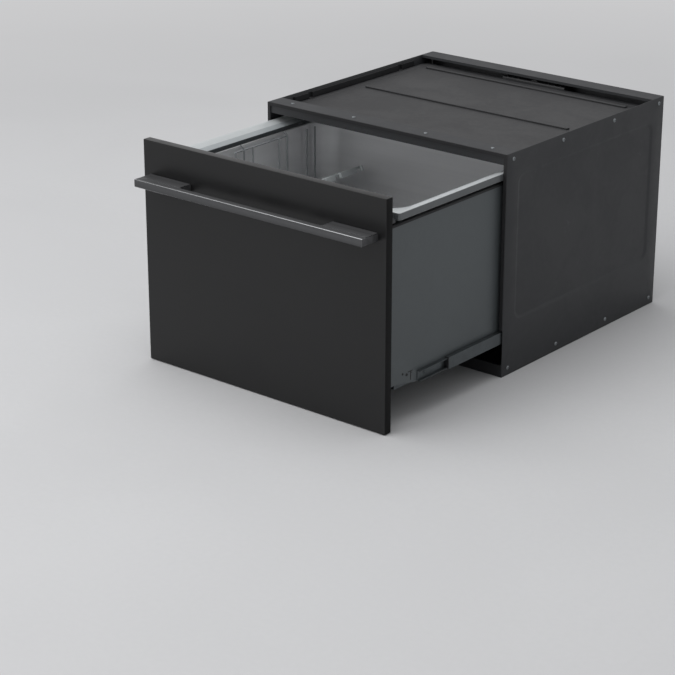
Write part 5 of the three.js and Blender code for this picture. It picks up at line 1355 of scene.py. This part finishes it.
class DRAWER_OT_services(bpy.types.Operator):
    """Services: the inlet valve with its coil and threaded spigot, the barbed drain spigot, and
    the power box with its gland"""

    bl_idname = "drawer.services"
    bl_label = "Services"

    def execute(self, context):
        low, high, (x, _, z), _ = span("inlet_valve")
        rear = high[1] - 0.0175
        body = block((low[0], rear - 0.048, low[2]), (high[0], rear, high[2]), 0.004, 0.002, "y")
        coil_radius, thread_radius, waves = 0.0146, 0.0130, 14 * np.pi
        t = np.linspace(0, 1, 29)
        coil = [(coil_radius - 0.002, low[1]),
                *zip(coil_radius - 0.0004 * (1 - np.cos(t * waves)), low[1] + 0.001 + 0.020 * t)]
        t = np.linspace(0, 1, 61)
        thread = [*zip(thread_radius - 0.0005 * (1 - np.cos(t * waves)),
                       rear - 0.002 + (high[1] - rear + 0.002) * t),
                  (0.0105, high[1]), (0.0100, high[1] - 0.012), (0.003, high[1] - 0.012)]
        nut = drawn(hexagon(x, z, 0.0172), high[1] - 0.0160, high[1] - 0.0110, 0.0006, "y", 2)
        tabs = [block((px, low[1] + 0.006, z + 0.0135), (px + 0.003, low[1] + 0.014, z + 0.0215),
                      0.0003, 0.0003, "z", 2) for px in (x - 0.008, x + 0.005)]
        turns = [turned(profile, (x, 0, z), "y", 40) for profile in (coil, thread)]
        add_piece("valve", joined([body, *turns, nut, *tabs]), "chassis", "white_plastic",
                  "inlet_valve")

        low, high, (x, _, _), _ = span("drain_spigot")
        body = block((low[0], rear - 0.028, low[2]), (high[0], rear, high[2]), 0.003, 0.0015, "y")
        t = np.linspace(0, 1, 33)
        barb = [*zip(0.0100 - 0.0016 * ((t * 4) % 1), rear - 0.001 + (high[1] - rear + 0.001) * t),
                (0.0070, high[1]), (0.0066, high[1] - 0.010)]
        neck = [[0.0066, low[1]], [0.0078, low[1] + 0.0006], [0.0090, low[1] + 0.004],
                [0.0082, low[1] + 0.005], [0.0082, low[1] + 0.010], [0.0090, low[1] + 0.013],
                [0.0082, low[1] + 0.014], [0.0082, rear - 0.02]]
        turns = [turned(profile, (x, 0, z), "y", 40) for profile in (barb, neck)]
        add_piece("drain_barb", joined([body, *turns]), "chassis", "black_plastic", "drain_spigot")

        dress("power_box")
        low, high, (x, _, _), _ = span("power_box")
        gland_z = 0.032
        nut = drawn(hexagon(x, gland_z, 0.0105), high[1] - 0.0080, high[1] - 0.0035, 0.0006, "y", 2)
        dome = [[0.0085, high[1] - 0.0045], [0.0082, high[1] - 0.002], [0.0065, high[1]],
                [0.0050, high[1]], [0.0045, high[1] - 0.004]]
        add_piece("mains_gland", joined([nut, turned(dome, (x, 0, gland_z), "y", 40)]), "chassis",
                  "black_plastic")
        heads = [screw_head((px, py, high[2]), "z", 0.0030)
                 for px in (low[0] + 0.010, high[0] - 0.010)
                 for py in (low[1] + 0.020, high[1] - 0.028)]
        add_piece("power_box_screws", joined(heads), "chassis", "zinc_steel")
        return {"FINISHED"}


# ---------------------------------------------------------------- hose and cable


def smooth_line(points, steps):
    """A curve through points: on each stretch the cubic whose end slopes are those of a curve
    with knots spaced by the square root of the distance between the points."""
    points = np.asarray(points, float)
    padded = np.concatenate([[2 * points[0] - points[1]], points, [2 * points[-1] - points[-2]]])
    before, start, end, after = padded[:-3], padded[1:-2], padded[2:-1], padded[3:]
    knots = [np.linalg.norm(b - a, axis=1, keepdims=True) ** 0.5
             for a, b in ((before, start), (start, end), (end, after))]
    slope_in = ((start - before) / knots[0] - (end - before) / (knots[0] + knots[1])
                + (end - start) / knots[1]) * knots[1]
    slope_out = ((end - start) / knots[1] - (after - start) / (knots[1] + knots[2])
                 + (after - end) / knots[2]) * knots[1]
    t = np.linspace(0, 1, steps, endpoint=False)[None, :, None]
    a, b, c, d = (value[:, None] for value in (start, end, slope_in, slope_out))
    curve = (a + c * t + (3 * b - 3 * a - 2 * c - d) * t**2 + (2 * a - 2 * b + c + d) * t**3)
    return np.concatenate([curve.reshape(-1, 3), points[-1:]])


HOSE_ROUTE = (
    (0.120, -0.158, 0.068), (0.120, -0.158, 0.058), (0.110, -0.155, 0.034), (0.084, -0.146, 0.021),
    (0.030, -0.120, 0.016), (-0.040, -0.060, 0.015), (-0.095, 0.020, 0.015), (-0.118, 0.100, 0.018),
    (-0.120, 0.160, 0.028), (-0.120, 0.2022, 0.032), (-0.120, 0.2222, 0.032),
)
CABLE_ROUTE = (
    (0.152, -0.158, 0.0667), (0.152, -0.158, 0.0547),
    (0.156, -0.150, 0.026), (0.174, -0.128, 0.014),
    (0.186, -0.070, 0.009), (0.188, 0.020, 0.009), (0.176, 0.100, 0.012), (0.152, 0.1742, 0.022),
    (0.152, 0.1902, 0.022),
)


class DRAWER_OT_links(bpy.types.Operator):
    """Links from the chassis to the drawer: the ribbed drain hose with its cuffs and clamp, and
    the cable"""

    bl_idname = "drawer.links"
    bl_label = "Hose and Cable"

    def execute(self, context):
        pitch = context.scene.drawer_sizes.hose_rib
        path = smooth_line(HOSE_ROUTE, 70)
        reach = np.concatenate([[0], np.cumsum(np.linalg.norm(np.diff(path, axis=0), axis=1))])
        even = np.linspace(0, reach[-1], int(reach[-1] / pitch) * 6)
        path = np.stack([np.interp(even, reach, path[:, axis]) for axis in range(3)], 1)
        cuff = (even < 0.020) | (even > reach[-1] - 0.024)
        radius = np.where(cuff, 0.0108, 0.0103 + 0.0007 * np.cos(2 * np.pi * even / pitch))
        hose = add_piece("drain_link", tube(path, radius, 18, up=(0.8, 1, 0)), "chassis",
                         "grey_rubber", "link_drain_hose", rides=False)
        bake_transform(hose)
        path = smooth_line(CABLE_ROUTE, 16)
        radius = np.full(len(path), 0.0038)
        sleeve = 0.0040 - 0.0002 * np.linspace(0, 1, 12)
        radius[:12], radius[-12:] = sleeve, sleeve[::-1]
        cable = add_piece("cable_link", tube(path, radius, 14, up=(1, -0.6, 0)), "chassis",
                          "black_rubber", "link_cable", rides=False)
        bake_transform(cable)
        band = [[0.0113, -0.004], [0.0117, -0.0036], [0.0117, 0.0036], [0.0113, 0.004], [0.0109, 0]]
        clamp = turned(band, (-0.120, 0.212, 0.032), "y", 36, ring=True)
        add_piece("hose_clamp", clamp, "chassis", "zinc_steel")
        return {"FINISHED"}


# ---------------------------------------------------------------- stage


def area_lamp(name, place, target, power, size):
    """A square lamp at a place that faces a target."""
    data = bpy.data.lights.new(name, "AREA")
    data.energy, data.size = power, size
    lamp = bpy.data.objects.new(name, data)
    bpy.context.scene.collection.objects.link(lamp)
    lamp.location = place
    lamp.rotation_euler = (Vector(target) - Vector(place)).to_track_quat("-Z", "Y").to_euler()


def shown(tree):
    """Where the background shows: straight to the camera, in a reflection or through glass."""
    rays = tree.nodes.new("ShaderNodeLightPath").outputs
    glossy = worked(tree, "MAXIMUM", rays["Is Glossy Ray"], rays["Is Transmission Ray"])
    return worked(tree, "MAXIMUM", rays["Is Camera Ray"], glossy)


def mix_surface(tree, mask, first, second, output):
    """Mixes two shaders by a mask into a tree's output."""
    mix = tree.nodes.new("ShaderNodeMixShader")
    for value, socket in zip((mask, first.outputs[0], second.outputs[0]), mix.inputs):
        tree.links.new(value, socket)
    tree.links.new(mix.outputs[0], tree.nodes[output].inputs["Surface"])


def floor_finish(seen):
    """The pale floor: a very soft mottle in its colour. Far from the object the camera sees its
    plain colour, over a smooth ring by the distance from the middle."""
    material = bpy.data.materials.new("floor")
    material.use_nodes = True
    tree = material.node_tree
    shader = tree.nodes["Principled BSDF"]
    place = tree.nodes.new("ShaderNodeTexCoord").outputs["Object"]
    mask = group_node(tree, "smudge", place, Scale=1.5)["Mask"]
    tone = mixed(tree, mask, linear(np.asarray(seen) * 0.985), linear(seen))
    tree.links.new(tone, shader.inputs["Base Color"])
    shader.inputs["Roughness"].default_value = 0.85
    reach = tree.nodes.new("ShaderNodeVectorMath")
    reach.operation = "LENGTH"
    tree.links.new(place, reach.inputs[0])
    far = worked(tree, "MULTIPLY", ramp(tree, reach.outputs["Value"], 1.0, 3.6), shown(tree))
    plain = tree.nodes.new("ShaderNodeEmission")
    plain.inputs["Color"].default_value = linear(seen)
    mix_surface(tree, far, shader, plain, "Material Output")
    return material


def room_world(sky, seen):
    """The room's light, weaker from the right than from the left, and the colour that shows
    behind the object."""
    world = bpy.data.worlds.new("room")
    world.use_nodes = True
    tree = world.node_tree
    room = tree.nodes["Background"]
    room.inputs["Color"].default_value = linear((0.97, 0.975, 0.98))
    split = tree.nodes.new("ShaderNodeSeparateXYZ")
    tree.links.new(tree.nodes.new("ShaderNodeTexCoord").outputs["Generated"], split.inputs[0])
    level = mapped(tree, split.outputs["X"], (-0.8, 0.8), (sky * 1.24, sky * 0.70))
    tree.links.new(level, room.inputs["Strength"])
    plain = tree.nodes.new("ShaderNodeBackground")
    plain.inputs["Color"].default_value = linear(seen)
    mix_surface(tree, shown(tree), room, plain, "World Output")
    return world


class DRAWER_OT_stage(bpy.types.Operator):
    """Stage: the camera, soft lamps, the room's light, and a plain pale floor"""

    bl_idname = "drawer.stage"
    bl_label = "Stage"

    def execute(self, context):
        scene, settings = context.scene, context.scene.drawer_stage
        data = bpy.data.cameras.new("camera")
        data.lens, data.clip_end = settings.lens, 60
        camera = bpy.data.objects.new("camera", data)
        scene.collection.objects.link(camera)
        camera.location = settings.camera_place
        camera.rotation_euler = (math.pi / 2 - settings.camera_tilt, 0, settings.camera_turn)
        scene.camera = camera
        scene.view_settings.view_transform = "Standard"
        scene.world = room_world(settings.sky, settings.floor)
        area_lamp("key_lamp", (-0.5, -1.0, 3.4), (0, -0.2, 0.3), settings.key, 3.6)
        area_lamp("fill_lamp", (-1.6, -4.0, 2.0), (0, -0.3, 0.25), settings.fill, 2.6)

        count, half = 41, 9
        across, along = np.meshgrid(*[np.linspace(-1, 1, count) * half] * 2)
        points = np.stack([across, along, np.full_like(across, -0.0004)], -1).reshape(-1, 3)
        index = np.arange(count * count).reshape(count, count)
        quads = np.stack([index[:-1, :-1], index[:-1, 1:], index[1:, 1:], index[1:, :-1]], -1)
        mesh = bpy.data.meshes.new("floor")
        mesh.from_pydata(points, [], quads.reshape(-1, 4).tolist())
        mesh.materials.append(floor_finish(settings.floor))
        floor = bpy.data.objects.new("floor", mesh)
        scene.collection.objects.link(floor)
        return {"FINISHED"}


# ---------------------------------------------------------------- panel and start


OPERATORS = (
    DRAWER_OT_front_board, DRAWER_OT_handle, DRAWER_OT_side_wraps, DRAWER_OT_control_strip,
    DRAWER_OT_rim, DRAWER_OT_tub, DRAWER_OT_insulation, DRAWER_OT_racks, DRAWER_OT_tine_rows,
    DRAWER_OT_cup_racks, DRAWER_OT_cutlery_basket, DRAWER_OT_wash_system, DRAWER_OT_dispenser,
    DRAWER_OT_lid, DRAWER_OT_chassis, DRAWER_OT_services, DRAWER_OT_links, DRAWER_OT_stage,
)
SETTINGS = {
    "drawer_sizes": DrawerSizes, "drawer_colours": DrawerColours, "drawer_stage": StageSettings,
}


class VIEW3D_PT_dishwasher_drawer(bpy.types.Panel):
    """Lists the drawer's settings and the pieces that can be built."""

    bl_label = "Dishwasher Drawer"
    bl_space_type = "VIEW_3D"
    bl_region_type = "UI"
    bl_category = "Drawer"

    def draw(self, context):
        for name, group in SETTINGS.items():
            box = self.layout.box()
            box.label(text=group.__doc__)
            for key in group.__annotations__:
                box.prop(getattr(context.scene, name), key)
        column = self.layout.column()
        for operator in OPERATORS:
            column.operator(operator.bl_idname)


CLASSES = (*SETTINGS.values(), *OPERATORS, VIEW3D_PT_dishwasher_drawer)


def register():
    """Registers the classes and hangs the settings on the scene."""
    for cls in CLASSES:
        bpy.utils.register_class(cls)
    for name, group in SETTINGS.items():
        setattr(bpy.types.Scene, name, bpy.props.PointerProperty(type=group))


def unregister():
    """Takes the settings and the classes away again."""
    for name in SETTINGS:
        delattr(bpy.types.Scene, name)
    for cls in reversed(CLASSES):
        bpy.utils.unregister_class(cls)


def main():
    """Registers the classes and builds every piece in order."""
    register()
    for operator in OPERATORS:
        group, name = operator.bl_idname.split(".")
        getattr(getattr(bpy.ops, group), name)()


if __name__ == "__main__":
    main()
